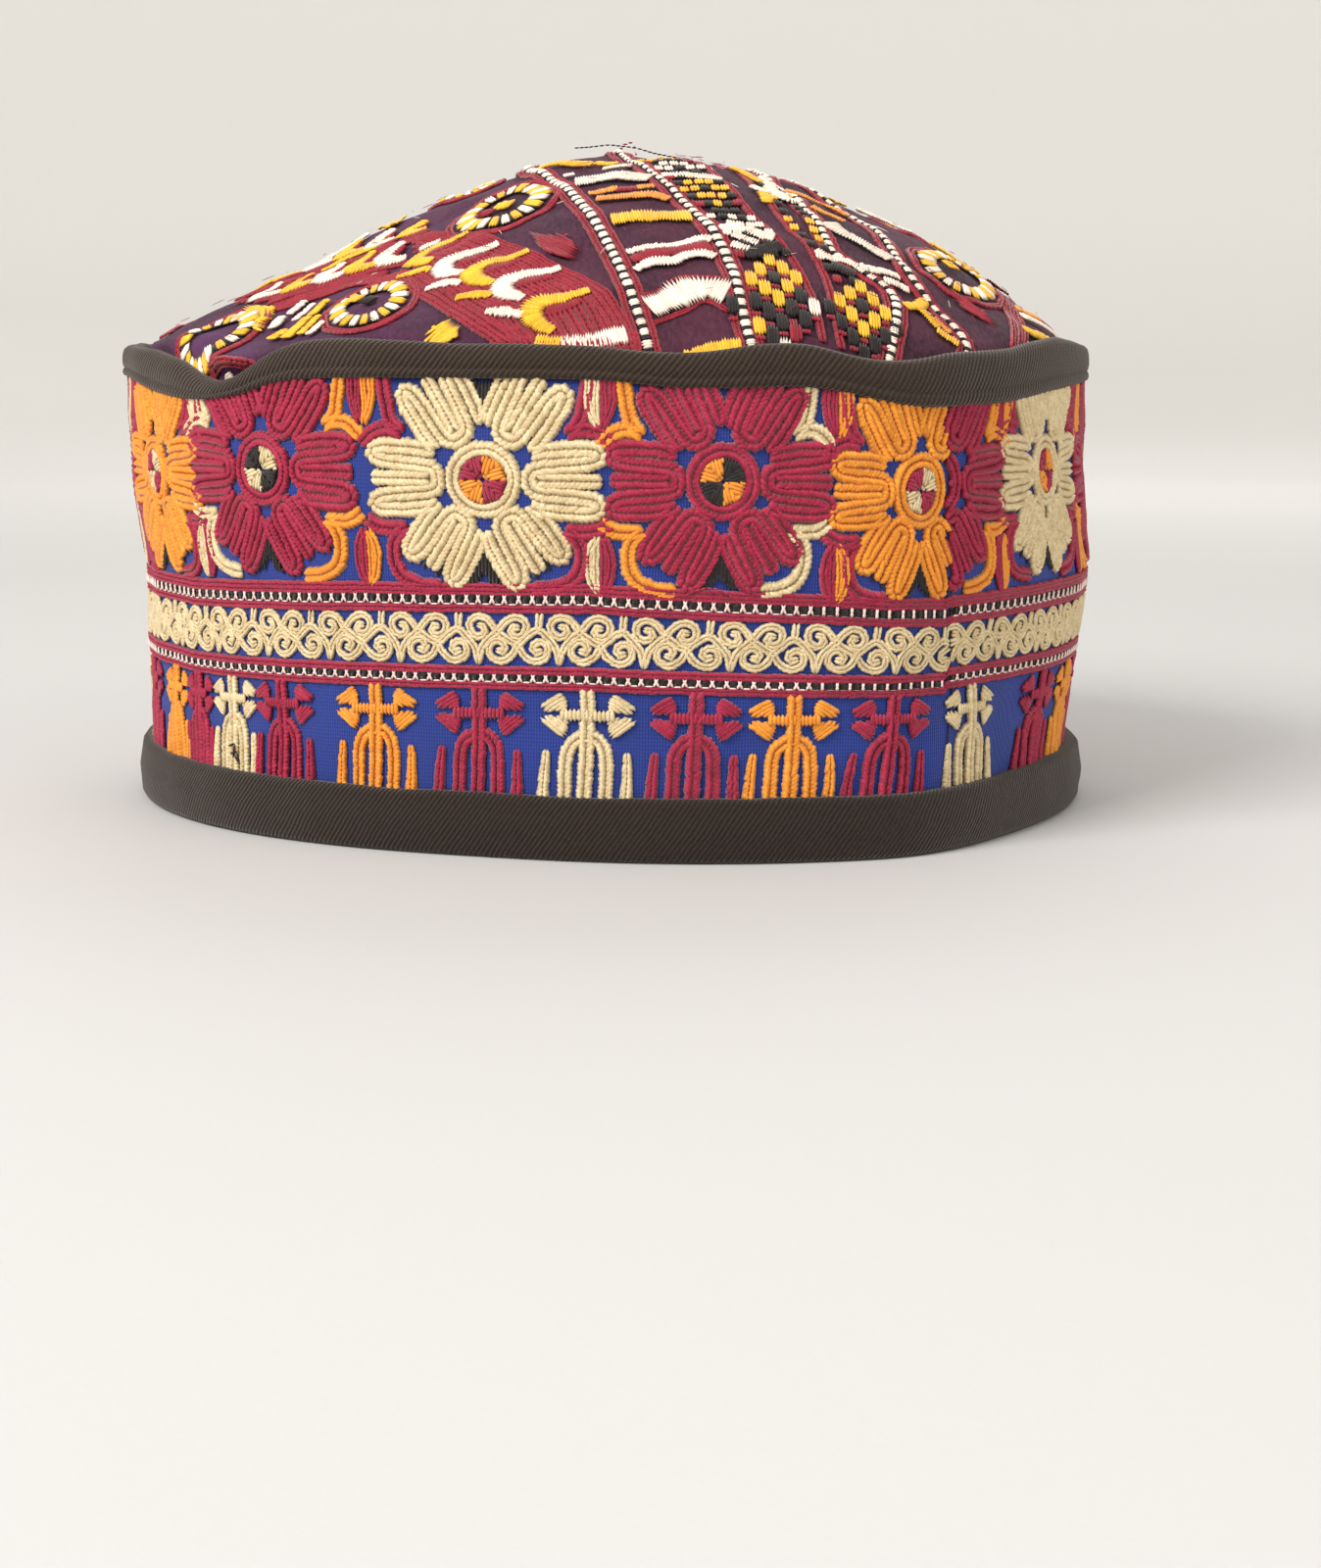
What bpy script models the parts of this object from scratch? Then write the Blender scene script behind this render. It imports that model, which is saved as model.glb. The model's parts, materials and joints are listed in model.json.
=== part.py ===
"""An embroidered kufi: a round cloth cap with an upright side wall and a low, soft dome.

The cap is sewn from four pieces, and each one is its own object:
the crown, the side band, the piping that stands up round the seam between them,
and the bias tape that binds the lower edge. It stands on its hem, hollow and open below.
Angles go round the cap in degrees, from the front (-Y) towards the right (+X).
"""

import collections
import math

import bmesh
import bpy
import numpy as np

MM = 0.001  # every size below is in millimetres, and Blender's unit is the metre
COLLECTION = "kufi"
SEGMENTS = 90
ANGLES = [360.0 * i / SEGMENTS - 180.0 for i in range(SEGMENTS)]

# Cloth thicknesses, and the gap between neighbouring pieces
WALL_THICKNESS = 2.5
CROWN_THICKNESS = 2.0
TAPE_INNER_THICKNESS = 1.5
TAPE_FLOOR = 1.3
GAP = 0.3

# Heights above the surface that the cap stands on
HEM_HEIGHT = 11.0
HEM_INNER_HEIGHT = 9.5
BELLY_HEIGHT = 45.0
SHOULDER_HEIGHT = 66.0
APEX_HEIGHT = 123.6
BAND_RING_HEIGHTS = (TAPE_FLOOR + GAP, HEM_HEIGHT, 22.0, 33.0, BELLY_HEIGHT, 56.0, SHOULDER_HEIGHT)

# The piping's folded strip: how far it stands out, its rounded top and its sewn-down foot
PIPING_PROUD = 1.1
PIPING_ROUND = 1.6
PIPING_FOOT = 0.6

# The tape's rounded folds and cut edges, and how far its face swells
TAPE_ROUND = 0.9
TAPE_EDGE = 0.5
TAPE_SWELL = 0.3

# The crown's edge goes down behind the wall, and rolls in as it leaves the piping
SEAM_ALLOWANCE = 4.5
CROWN_ROLL = 0.9
CROWN_RISE = 0.6

# The fold in which the crown hangs out over the piping
SLUMP_ANGLE = -47.0
SLUMP_HALF_WIDTH = 8.0
SLUMP_REACH = 4.5
SLUMP_TURN_RISE = 2.3
SLUMP_LIP_RISE = 2.6


def table(columns, *rows):
    """Rows with named columns; the first column is the angle."""
    row_type = collections.namedtuple("Row", columns)
    return [row_type(*row) for row in rows]


# The wall's outer radius at its top edge, at the belly and at the hem, and how thick
# the tape stands in front of it. The wall is flat at the front left, and the seam of
# the band makes a corner at the front right.
WALL = table(
    "angle rim belly hem tape",
    (-165, 91.1, 89.8, 88.4, 2.0),
    (-130, 91.8, 91.0, 89.6, 2.0),
    (-90, 92.8, 90.6, 90.0, 2.6),
    (-70, 92.6, 90.2, 89.6, 2.6),
    (-50, 91.6, 89.0, 88.0, 2.4),
    (-32, 89.6, 87.6, 86.0, 2.0),
    (-16, 88.8, 86.8, 85.0, 2.0),
    (-4, 90.0, 88.4, 86.9, 2.0),
    (10, 92.6, 91.4, 90.3, 2.2),
    (21, 94.8, 94.2, 93.4, 2.4),
    (31, 96.8, 96.8, 96.4, 2.4),
    (39, 96.4, 96.4, 95.4, 2.4),
    (50, 94.4, 95.2, 92.4, 2.8),
    (68, 92.6, 94.6, 90.6, 3.4),
    (90, 92.2, 93.6, 90.0, 3.4),
    (130, 91.6, 91.4, 89.2, 2.6),
    (165, 91.3, 90.0, 88.4, 2.0),
)

# Heights of the piping's lower and upper edges, which wave as they go round
PIPING = table(
    "angle low high",
    (-150, 80.2, 86.2),
    (-120, 80.2, 87.2),
    (-90, 80.6, 86.8),
    (-72, 80.2, 86.2),
    (-62, 77.8, 88.0),
    (-56, 76.8, 87.0),
    (-50, 76.8, 81.2),
    (-45, 77.3, 80.8),
    (-39, 79.9, 85.6),
    (-32, 80.6, 87.2),
    (-18, 80.7, 86.4),
    (0, 80.4, 85.8),
    (8, 79.1, 84.6),
    (19, 79.6, 86.9),
    (24, 78.8, 84.8),
    (30, 76.4, 83.6),
    (36, 76.2, 85.2),
    (46, 76.9, 85.8),
    (58, 78.7, 88.2),
    (74, 80.2, 87.4),
    (100, 80.6, 86.6),
    (130, 80.0, 87.2),
    (165, 80.6, 86.4),
)

# The crown's height at five shares of the way from its apex to its edge. The right
# side is round, the left side falls straight, and the front left is dented.
CROWN_SHARES = {"near_apex": 0.2, "upper": 0.4, "middle": 0.6, "lower": 0.8, "near_edge": 0.93}
CROWN = table(
    ["angle", *CROWN_SHARES],
    (-135, 120.4, 113.6, 104.8, 95.6, 89.8),
    (-90, 119.6, 112.2, 103.4, 94.8, 89.4),
    (-62, 119.6, 111.8, 102.8, 94.2, 89.4),
    (-46, 119.8, 112.0, 102.4, 93.0, 86.8),
    (-28, 120.8, 113.8, 105.2, 96.4, 90.2),
    (0, 121.4, 115.6, 108.2, 99.0, 91.2),
    (35, 121.8, 116.8, 109.6, 99.8, 90.4),
    (60, 121.8, 117.2, 110.0, 100.8, 92.2),
    (90, 121.8, 117.2, 110.0, 100.8, 92.2),
    (135, 121.4, 116.2, 108.6, 99.4, 91.8),
    (180, 121.0, 115.0, 107.2, 98.2, 91.2),
)


def around(rows, angle):
    """The row of a table at any angle, on a smooth closed curve through the rows given."""
    angles = [row.angle for row in rows]
    count = len(rows)
    angle = (angle - angles[0]) % 360 + angles[0]
    here = int(np.searchsorted(angles, angle, side="right")) - 1
    picks = range(here - 1, here + 3)
    spots = [angles[i % count] + 360 * (i // count) for i in picks]
    before, start, end, after = (np.array(rows[i % count][1:]) for i in picks)
    span = spots[2] - spots[1]
    t = (angle - spots[1]) / span
    leaving = (end - before) / (spots[2] - spots[0]) * span
    arriving = (after - start) / (spots[3] - spots[1]) * span
    from_start = (1 + 2 * t) * (1 - t) ** 2 * start + t * (1 - t) ** 2 * leaving
    to_end = t * t * (3 - 2 * t) * end + t * t * (t - 1) * arriving
    return type(rows[0])(angle, *(from_start + to_end))


def ease(t):
    """A smooth step from 0 to 1."""
    t = min(max(t, 0.0), 1.0)
    return t * t * (3 - 2 * t)


def wall_radius(angle, height):
    """The band's outer radius: upright near the rim, easing in to the belly and the hem."""
    row = around(WALL, angle)
    if height > BELLY_HEIGHT:
        rise = (height - BELLY_HEIGHT) / (SHOULDER_HEIGHT - BELLY_HEIGHT)
        return row.belly + (row.rim - row.belly) * ease(rise)
    rise = (height - HEM_HEIGHT) / (BELLY_HEIGHT - HEM_HEIGHT)
    return row.hem + (row.belly - row.hem) * ease(rise)


def slump(angle):
    """0 round most of the cap, rising to 1 where the crown hangs over the piping."""
    return 1 - ease(abs(angle - SLUMP_ANGLE) / SLUMP_HALF_WIDTH)


def point(angle, radius, height):
    turn = math.radians(angle)
    return (MM * radius * math.sin(turn), -MM * radius * math.cos(turn), MM * height)


def cloth_material(name, colour, roughness):
    made = bpy.data.materials.new(name)
    made.use_nodes = True
    shader = made.node_tree.nodes["Principled BSDF"]
    shader.inputs["Base Color"].default_value = (*colour, 1.0)
    shader.inputs["Roughness"].default_value = roughness
    shader.inputs["Metallic"].default_value = 0.0
    return made


def loft(name, rings, material, closed_section=False, apex=None):
    """A surface through rings of (radius, height), each with one place for each angle.

    A closed section joins the last ring to the first, and an apex closes the last ring."""
    shape = bmesh.new()
    rows = []
    for ring in rings:
        rows.append([shape.verts.new(point(a, *place)) for a, place in zip(ANGLES, ring)])
    pairs = list(zip(rows, rows[1:]))
    if closed_section:
        pairs.append((rows[-1], rows[0]))
    following = [(i + 1) % SEGMENTS for i in range(SEGMENTS)]
    for lower, upper in pairs:
        for i, j in enumerate(following):
            shape.faces.new((lower[i], lower[j], upper[j], upper[i]))
    if apex is not None:
        top = shape.verts.new((0.0, 0.0, MM * apex))
        for i, j in enumerate(following):
            shape.faces.new((rows[-1][i], rows[-1][j], top))
    mesh = bpy.data.meshes.new(name)
    shape.to_mesh(mesh)
    shape.free()
    mesh.shade_smooth()
    mesh.materials.append(material)
    made = bpy.data.objects.new(name, mesh)
    bpy.data.collections[COLLECTION].objects.link(made)
    return made


def give_thickness(cloth, thickness):
    """Adds the cloth's thickness on its inner side, so that the lofted face stays outside."""
    solidify = cloth.modifiers.new("thickness", "SOLIDIFY")
    solidify.thickness = MM * thickness
    solidify.offset = -1.0


def side_band():
    """The upright wall, from inside the tape up to the piping."""
    rings = []
    for height in BAND_RING_HEIGHTS:
        rings.append([(wall_radius(a, height), height) for a in ANGLES])
    top = [around(PIPING, a).low - GAP for a in ANGLES]
    rings.append([(wall_radius(a, height), height) for a, height in zip(ANGLES, top)])
    cloth = cloth_material("blue_ground_cloth", (0.035, 0.055, 0.30), 0.9)
    give_thickness(loft("side_band", rings, cloth), WALL_THICKNESS)


def piping_section(angle):
    """A folded strip on end: square at its sewn foot and rounded along its folded top."""
    edge = around(PIPING, angle)
    rim = wall_radius(angle, edge.low)
    outer = rim + PIPING_PROUD
    inner = rim - WALL_THICKNESS
    middle = (outer + inner) / 2
    half = (outer - inner) / 2
    rounding = min(PIPING_ROUND, 0.4 * (edge.high - edge.low))
    section = [(inner, edge.low), (outer - PIPING_FOOT, edge.low), (outer, edge.low + PIPING_FOOT)]
    for turn in (0, 45, 90, 135, 180):
        out = math.cos(math.radians(turn))
        up = math.sin(math.radians(turn))
        section.append((middle + half * out, edge.high - rounding * (1 - up)))
    return section


def top_piping():
    """The strip on the seam between crown and band."""
    rings = zip(*[piping_section(a) for a in ANGLES])
    cloth = cloth_material("black_twill_piping", (0.022, 0.018, 0.015), 0.85)
    loft("top_piping", rings, cloth, closed_section=True)


def tape_section(angle):
    """The tape folded up both faces of the wall, with a flat fold to stand on."""
    wall = wall_radius(angle, HEM_HEIGHT)
    face = wall + GAP
    outer = face + around(WALL, angle).tape
    inner = wall - WALL_THICKNESS - GAP
    back = inner - TAPE_INNER_THICKNESS
    return (
        (back + TAPE_ROUND, 0.0),
        (outer - TAPE_ROUND, 0.0),
        (outer, TAPE_ROUND),
        (outer + TAPE_SWELL, HEM_HEIGHT / 2),
        (outer - TAPE_EDGE, HEM_HEIGHT - TAPE_EDGE),
        (face + TAPE_EDGE, HEM_HEIGHT),
        (face, HEM_HEIGHT - TAPE_EDGE),
        (face, TAPE_FLOOR),
        (inner, TAPE_FLOOR),
        (inner, HEM_INNER_HEIGHT),
        (back, HEM_INNER_HEIGHT - TAPE_EDGE),
        (back, TAPE_ROUND),
    )


def hem_binding():
    """The bias tape round the lower edge."""
    rings = zip(*[tape_section(a) for a in ANGLES])
    cloth = cloth_material("black_twill_tape", (0.024, 0.019, 0.016), 0.85)
    loft("hem_binding", rings, cloth, closed_section=True)


def crown():
    """The dome, with its edge turned down as a seam allowance behind the piping."""
    edges = []
    skirt = []
    turn = []
    lip = []
    for a in ANGLES:
        piping = around(PIPING, a)
        edge = wall_radius(a, piping.low) - WALL_THICKNESS - GAP
        fall = slump(a)
        edges.append(edge)
        skirt.append((edge, piping.low - SEAM_ALLOWANCE))
        turn.append((edge, piping.high - PIPING_ROUND + SLUMP_TURN_RISE * fall))
        reach = edge - CROWN_ROLL + SLUMP_REACH * fall
        lip.append((reach, piping.high + CROWN_RISE + SLUMP_LIP_RISE * fall))
    rings = [skirt, turn, lip]
    for column, share in reversed(CROWN_SHARES.items()):
        heights = [getattr(around(CROWN, a), column) for a in ANGLES]
        rings.append([(share * edge, height) for edge, height in zip(edges, heights)])
    cloth = cloth_material("purple_wool_crown", (0.10, 0.035, 0.085), 0.95)
    give_thickness(loft("crown", rings, cloth, apex=APEX_HEIGHT), CROWN_THICKNESS)


def main():
    for old in list(bpy.data.objects):
        bpy.data.objects.remove(old)
    collection = bpy.data.collections.new(COLLECTION)
    bpy.context.scene.collection.children.link(collection)
    side_band()
    top_piping()
    hem_binding()
    crown()


main()
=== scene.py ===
# %% [markdown]
# # An embroidered kufi
# A kufi is a round cloth cap. This one has an upright band covered with chain stitch,
# a soft purple crown with satin stitch, a black twill piping between them, and a taped hem.
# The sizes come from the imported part, which is loaded first and never changed. Every piece
# below is laid on it or takes the place of one of its plain solids.

# %% Load the frame
import json
import math

import bmesh
import bpy
import numpy as np
from mathutils import Matrix, Vector
from mathutils import noise as blender_noise
from mathutils.bvhtree import BVHTree

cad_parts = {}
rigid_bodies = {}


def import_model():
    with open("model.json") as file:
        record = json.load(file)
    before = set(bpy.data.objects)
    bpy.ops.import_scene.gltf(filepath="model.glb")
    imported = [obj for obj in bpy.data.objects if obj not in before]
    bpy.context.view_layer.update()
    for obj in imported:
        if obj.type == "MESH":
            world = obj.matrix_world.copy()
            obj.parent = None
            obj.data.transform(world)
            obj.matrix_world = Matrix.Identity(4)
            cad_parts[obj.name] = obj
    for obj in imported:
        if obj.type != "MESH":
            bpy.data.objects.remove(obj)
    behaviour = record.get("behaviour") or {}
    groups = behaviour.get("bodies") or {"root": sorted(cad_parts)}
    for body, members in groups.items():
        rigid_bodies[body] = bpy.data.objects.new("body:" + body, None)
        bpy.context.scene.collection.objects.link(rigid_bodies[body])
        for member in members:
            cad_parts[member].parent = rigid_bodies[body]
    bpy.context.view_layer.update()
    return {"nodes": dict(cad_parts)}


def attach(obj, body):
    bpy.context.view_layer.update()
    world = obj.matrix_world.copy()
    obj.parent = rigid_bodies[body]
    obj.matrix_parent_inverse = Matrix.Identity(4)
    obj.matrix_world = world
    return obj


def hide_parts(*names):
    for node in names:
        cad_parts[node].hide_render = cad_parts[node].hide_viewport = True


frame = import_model()
MM = 0.001
chance = np.random.default_rng(11)

# %% [markdown]
# ## Camera, floor and light
# The camera stands half a metre in front of the cap and looks slightly down on it, as in a
# studio. Its place and turn are given as numbers rather than by a tracking constraint, so
# that the hem and the piping fall where they should. The floor is a pale sheet with painted
# shade near the cap and painted light further out, and three large soft lamps give the broad, even light in
# which thread shows its relief.

# %% Camera
FOCAL_PX, IMAGE_HEIGHT_PX, SENSOR_MM = 2600.0, 1600.0, 36.0
CAMERA_PLACE = Vector((0.0, -0.51098, 0.08178))
PITCH, YAW, ROLL = 0.1604, 0.0204, 0.0042

camera_data = bpy.data.cameras.new("camera")
camera_data.sensor_width = SENSOR_MM
camera_data.lens = SENSOR_MM * FOCAL_PX / IMAGE_HEIGHT_PX
camera = bpy.data.objects.new("camera", camera_data)
ahead = Vector((math.sin(YAW) * math.cos(PITCH), math.cos(YAW) * math.cos(PITCH), -math.sin(PITCH)))
level = Vector((math.cos(YAW), -math.sin(YAW), 0.0))
upward = level.cross(ahead)
right = math.cos(ROLL) * level + math.sin(ROLL) * upward
over = -math.sin(ROLL) * level + math.cos(ROLL) * upward
columns = (right, over, -ahead, CAMERA_PLACE)
camera.matrix_world = Matrix([[column[k] for column in columns] for k in range(3)] + [[0.0, 0.0, 0.0, 1.0]])
bpy.context.collection.objects.link(camera)
bpy.context.scene.camera = camera
print("lens, mm:", round(camera_data.lens, 1))

# %% [markdown]
# ## Writing materials and node trees
# Cloth needs many small textures that work together, so a material is easier to read as
# arithmetic than as boxes and wires. The class Value wraps one socket, and + - * / on it add
# the Math nodes. Board adds any other node: its settings first, then its inputs.

# %% Arithmetic on sockets
class Value:
    """One output socket that adds Math nodes when it is used in arithmetic."""

    def __init__(self, board, socket):
        self.board = board
        self.socket = socket

    def _math(self, operation, *terms):
        inputs = {("Value", "Value_001", "Value_002")[i]: term for i, term in enumerate(terms)}
        return self.board.add("ShaderNodeMath", {"operation": operation}, inputs)["Value"]

    def __add__(self, other):
        return self._math("ADD", self, other)

    def __radd__(self, other):
        return self._math("ADD", other, self)

    def __sub__(self, other):
        return self._math("SUBTRACT", self, other)

    def __rsub__(self, other):
        return self._math("SUBTRACT", other, self)

    def __mul__(self, other):
        return self._math("MULTIPLY", self, other)

    def __rmul__(self, other):
        return self._math("MULTIPLY", other, self)

    def __truediv__(self, other):
        return self._math("DIVIDE", self, other)

    def wave(self):
        """A sine between 0 and 1, with one turn for each whole step of this value."""
        return self._math("SINE", self * math.tau) * 0.5 + 0.5

    def clip(self):
        return self._math("MAXIMUM", self._math("MINIMUM", self, 1.0), 0.0)

    def bend(self, low, high):
        """0 below low, 1 above high and a smooth step between."""
        ranges = {"From Min": low, "From Max": high, "Value": self}
        return self.board.add("ShaderNodeMapRange", {"interpolation_type": "SMOOTHSTEP"}, ranges)["Result"]


class Node:
    """A node whose outputs are read by identifier or name."""

    def __init__(self, board, node):
        self.board = board
        self.node = node

    def __getitem__(self, key):
        return Value(self.board, self.board.find(self.node.outputs, key))


def srgb(code):
    """A linear colour from a hex code."""
    parts = [int(code[i:i + 2], 16) / 255 for i in (1, 3, 5)]
    linear = [p / 12.92 if p <= 0.04045 else ((p + 0.055) / 1.055) ** 2.4 for p in parts]
    return (*linear, 1.0)


class Board:
    """A node tree to add nodes to."""

    def __init__(self, tree):
        self.tree = tree

    @staticmethod
    def find(sockets, key):
        if isinstance(key, int):
            return sockets[key]
        same = [s for s in sockets if s.identifier == key] or [s for s in sockets if s.name == key]
        return same[0]

    def add(self, kind, settings=None, inputs=None):
        node = self.tree.nodes.new(kind)
        for name, setting in (settings or {}).items():
            setattr(node, name, setting)
        for key, given in (inputs or {}).items():
            socket = self.find(node.inputs, key)
            if isinstance(given, Value):
                self.tree.links.new(given.socket, socket)
            else:
                socket.default_value = given
        return Node(self, node)

    def mix(self, factor, first, second):
        """A colour between two colours, each a hex code or a socket."""
        first, second = (srgb(c) if isinstance(c, str) else c for c in (first, second))
        settings = {"data_type": "RGBA", "blend_type": "MIX", "clamp_factor": True}
        inputs = {"Factor_Float": factor, "A_Color": first, "B_Color": second}
        return self.add("ShaderNodeMix", settings, inputs)["Result_Color"]

    def noise(self, where, scale, detail=2.0, roughness=0.5):
        inputs = {"Vector": where, "Scale": scale, "Detail": detail, "Roughness": roughness}
        return self.add("ShaderNodeTexNoise", {}, inputs)["Fac"]

    def stretch(self, where, scale, turn):
        """Coordinates turned and stretched by a Mapping node."""
        inputs = {"Vector": where, "Scale": scale, "Rotation": turn}
        return self.add("ShaderNodeMapping", {"vector_type": "POINT"}, inputs)["Vector"]


def start_material(name, roughness, sheen, tint):
    """An empty cloth material: its board, its Principled shader and itself."""
    made = bpy.data.materials.new(name)
    made.use_nodes = True
    board = Board(made.node_tree)
    shader = made.node_tree.nodes["Principled BSDF"]
    settings = {"Roughness": roughness, "Specular IOR Level": 0.25, "Sheen Weight": sheen,
                "Sheen Roughness": 0.45, "Sheen Tint": tint}
    for key, value in settings.items():
        shader.inputs[key].default_value = value
    return board, shader, made


def dress(board, shader, colour, height, distance, strength=1.0):
    """Links a colour and a bump to a cloth shader."""
    board.tree.links.new(colour.socket, shader.inputs["Base Color"])
    bump = board.add("ShaderNodeBump", {}, {"Height": height, "Distance": distance, "Strength": strength})
    board.tree.links.new(bump["Normal"].socket, shader.inputs["Normal"])


# %% Floor and lamps
def floor_material():
    board, shader, made = start_material("pale_floor", 0.85, 0.0, (1, 1, 1, 1))
    where = board.add("ShaderNodeTexCoord")["Object"]
    patches = board.noise(where, 3.0)
    # painted shade and painted light: the floor is darker near the cap, where the lamps light it most, and
    # paler on the far rise of the dish, which gets little lamp light
    painted_light_far = board.add("ShaderNodeVectorMath", {"operation": "LENGTH"}, {0: where})["Value"].bend(0.4, 2.4)
    near = board.mix(patches, "#bdbbb8", "#c3c1be")
    colour = board.mix(painted_light_far, near, "#f4f2ee")
    dress(board, shader, colour, board.noise(where, 900.0), 0.0001, 0.3)
    return made


# The floor is a wide dish whose rim rises far away, so that no edge shows behind the cap.
DISH = ((0.0, 0.0), (1.6, 0.0), (1.95, 0.03), (2.25, 0.14), (2.45, 0.36), (2.55, 0.7), (2.58, 1.2), (2.6, 2.4))
DISH_SIDES = 72
floor_shape = bmesh.new()
floor_rings = [[floor_shape.verts.new((0.0, 0.0, 0.0))]]
for reach, height in DISH[1:]:
    turns = [math.tau * k / DISH_SIDES for k in range(DISH_SIDES)]
    places = [(reach * math.sin(t), -reach * math.cos(t), height) for t in turns]
    floor_rings.append([floor_shape.verts.new(place) for place in places])
for inner, outer in zip(floor_rings, floor_rings[1:]):
    for k in range(DISH_SIDES):
        j = (k + 1) % DISH_SIDES
        inside = [inner[j], inner[k]] if len(inner) > 1 else [inner[0]]
        floor_shape.faces.new([*inside, outer[k], outer[j]]).smooth = True
floor_mesh = bpy.data.meshes.new("floor")
floor_shape.to_mesh(floor_mesh)
floor_shape.free()
floor_mesh.materials.append(floor_material())
floor = bpy.data.objects.new("floor", floor_mesh)
bpy.context.collection.objects.link(floor)


def lamp(name, place, size, power, aim=(0.0, 0.0, 0.06)):
    data = bpy.data.lights.new(name, "AREA")
    data.size = size
    data.energy = power
    light = bpy.data.objects.new(name, data)
    light.location = place
    light.rotation_euler = (Vector(aim) - Vector(place)).to_track_quat("-Z", "Y").to_euler()
    bpy.context.collection.objects.link(light)


lamp("key_lamp", (-0.85, -0.85, 0.95), 0.7, 25.0)
lamp("fill_lamp", (1.1, -0.8, 0.6), 1.2, 7.0)
lamp("back_lamp", (0.2, 1.2, 1.1), 1.2, 9.0)
world = bpy.data.worlds.new("studio")
world.use_nodes = True
world.node_tree.nodes["Background"].inputs["Color"].default_value = (1.0, 0.985, 0.96, 1.0)
world.node_tree.nodes["Background"].inputs["Strength"].default_value = 0.62
bpy.context.scene.world = world
bpy.context.scene.view_settings.view_transform = "Standard"

# %% [markdown]
# ## Reading the cap's surface
# Every stitch has to lie on the cap, wherever the cloth bulges or sags. The outer face of
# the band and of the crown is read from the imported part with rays, on a fine grid of angles
# and steps, and softened a little so that its flat facets don't show. A chart in millimetres
# is then laid on that grid: for the band, the way round and the height, and for the crown,
# the place as seen from straight above.

# %% Surface grids
EDGE_STEP = 4
RAY_START = 0.15
TURNS = 720
TURN_ANGLES = np.radians(np.arange(TURNS) * 360.0 / TURNS - 180.0)


def tree_of(node):
    """Something to cast rays at, from a merged copy of a node's mesh."""
    copy = bmesh.new()
    copy.from_mesh(frame["nodes"][node].data)
    bmesh.ops.remove_doubles(copy, verts=copy.verts, dist=1e-6)
    tree = BVHTree.FromBMesh(copy)
    copy.free()
    return tree


def soften(grid, reach, axis):
    """A weighted moving average. Axis 0, the way round the cap, is closed; axis 1 has two ends."""
    steps = range(-int(3 * reach), int(3 * reach) + 1)
    weights = [math.exp(-0.5 * (k / reach) ** 2) for k in steps]
    if axis == 0:
        total = sum(w * np.roll(grid, k, axis=0) for k, w in zip(steps, weights))
    else:
        count = grid.shape[1]
        total = sum(w * grid[:, np.clip(np.arange(count) + k, 0, count - 1)] for k, w in zip(steps, weights))
    return total / sum(weights)


class Skin:
    """A closed ring of sections, each with the same number of rows from its lower edge up."""

    def __init__(self, points):
        self.points = points
        round_about = np.roll(points, -1, axis=0) - np.roll(points, 1, axis=0)
        upwards = np.gradient(points, axis=1)
        out = np.cross(round_about, upwards)
        self.out = out / np.maximum(np.linalg.norm(out, axis=2, keepdims=True), 1e-12)

    def at(self, turn, row):
        """Points and outward directions at fractional turns and rows."""
        rows = self.points.shape[1]
        row = np.clip(row, 0, rows - 1.001)
        left, low = np.floor(turn).astype(int), np.floor(row).astype(int)
        a, b = (turn - left)[:, None], (row - low)[:, None]
        left, next_turn = left % TURNS, (left + 1) % TURNS
        found = []
        for grid in (self.points, self.out):
            lower = grid[left, low] * (1 - a) + grid[next_turn, low] * a
            upper = grid[left, low + 1] * (1 - a) + grid[next_turn, low + 1] * a
            found.append(lower * (1 - b) + upper * b)
        return found[0], found[1] / np.linalg.norm(found[1], axis=1, keepdims=True)


def ring_edges(node, which):
    """The lowest or highest point of a strip at each turn, in millimetres."""
    places = np.array([v.co for v in frame["nodes"][node].data.vertices]) * 1000
    angles = np.round(np.degrees(np.arctan2(places[:, 0], -places[:, 1])) / EDGE_STEP) * EDGE_STEP
    steps = np.arange(-180, 181, EDGE_STEP)
    edge = [which(places[(angles % 360) == (s % 360), 2]) for s in steps]
    return np.interp(np.degrees(TURN_ANGLES), steps, edge)


piping_low = soften(ring_edges("top_piping", np.min)[:, None], 3, 0)[:, 0]
piping_high = soften(ring_edges("top_piping", np.max)[:, None], 3, 0)[:, 0]
hem_high = float(ring_edges("hem_binding", np.max).mean())
print("piping, mm:", round(piping_low.min(), 1), "to", round(piping_high.max(), 1))
print("top of the tape, mm:", round(hem_high, 1))

# %% The band's face
WALL_LOW, WALL_STEP, WALL_ROWS = 2.0, 1.0, 82
GIRTH_HEIGHT = 60
wall_heights = WALL_LOW + WALL_STEP * np.arange(WALL_ROWS)


def wall_row(height):
    """The grid row at a height in millimetres."""
    return (height - WALL_LOW) / WALL_STEP


def outer_hit(tree, way, height):
    """Where the outer face lies in a direction, at a height in millimetres."""
    return tree.ray_cast(RAY_START * way + Vector((0, 0, MM * height)), -way)[0]


def read_wall():
    """The band's outer radius at every turn and height."""
    tree = tree_of("side_band")
    radii = np.zeros((TURNS, WALL_ROWS))
    for i, angle in enumerate(TURN_ANGLES):
        way = Vector((math.sin(angle), -math.cos(angle), 0.0))
        for j, height in enumerate(wall_heights):
            hit = outer_hit(tree, way, height)
            near = hit is not None and hit.dot(way) > 0
            radii[i, j] = 1000 * hit.xy.length if near else radii[i, j - 1]
    return soften(soften(radii, 3, 0), 2, 1)


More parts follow.
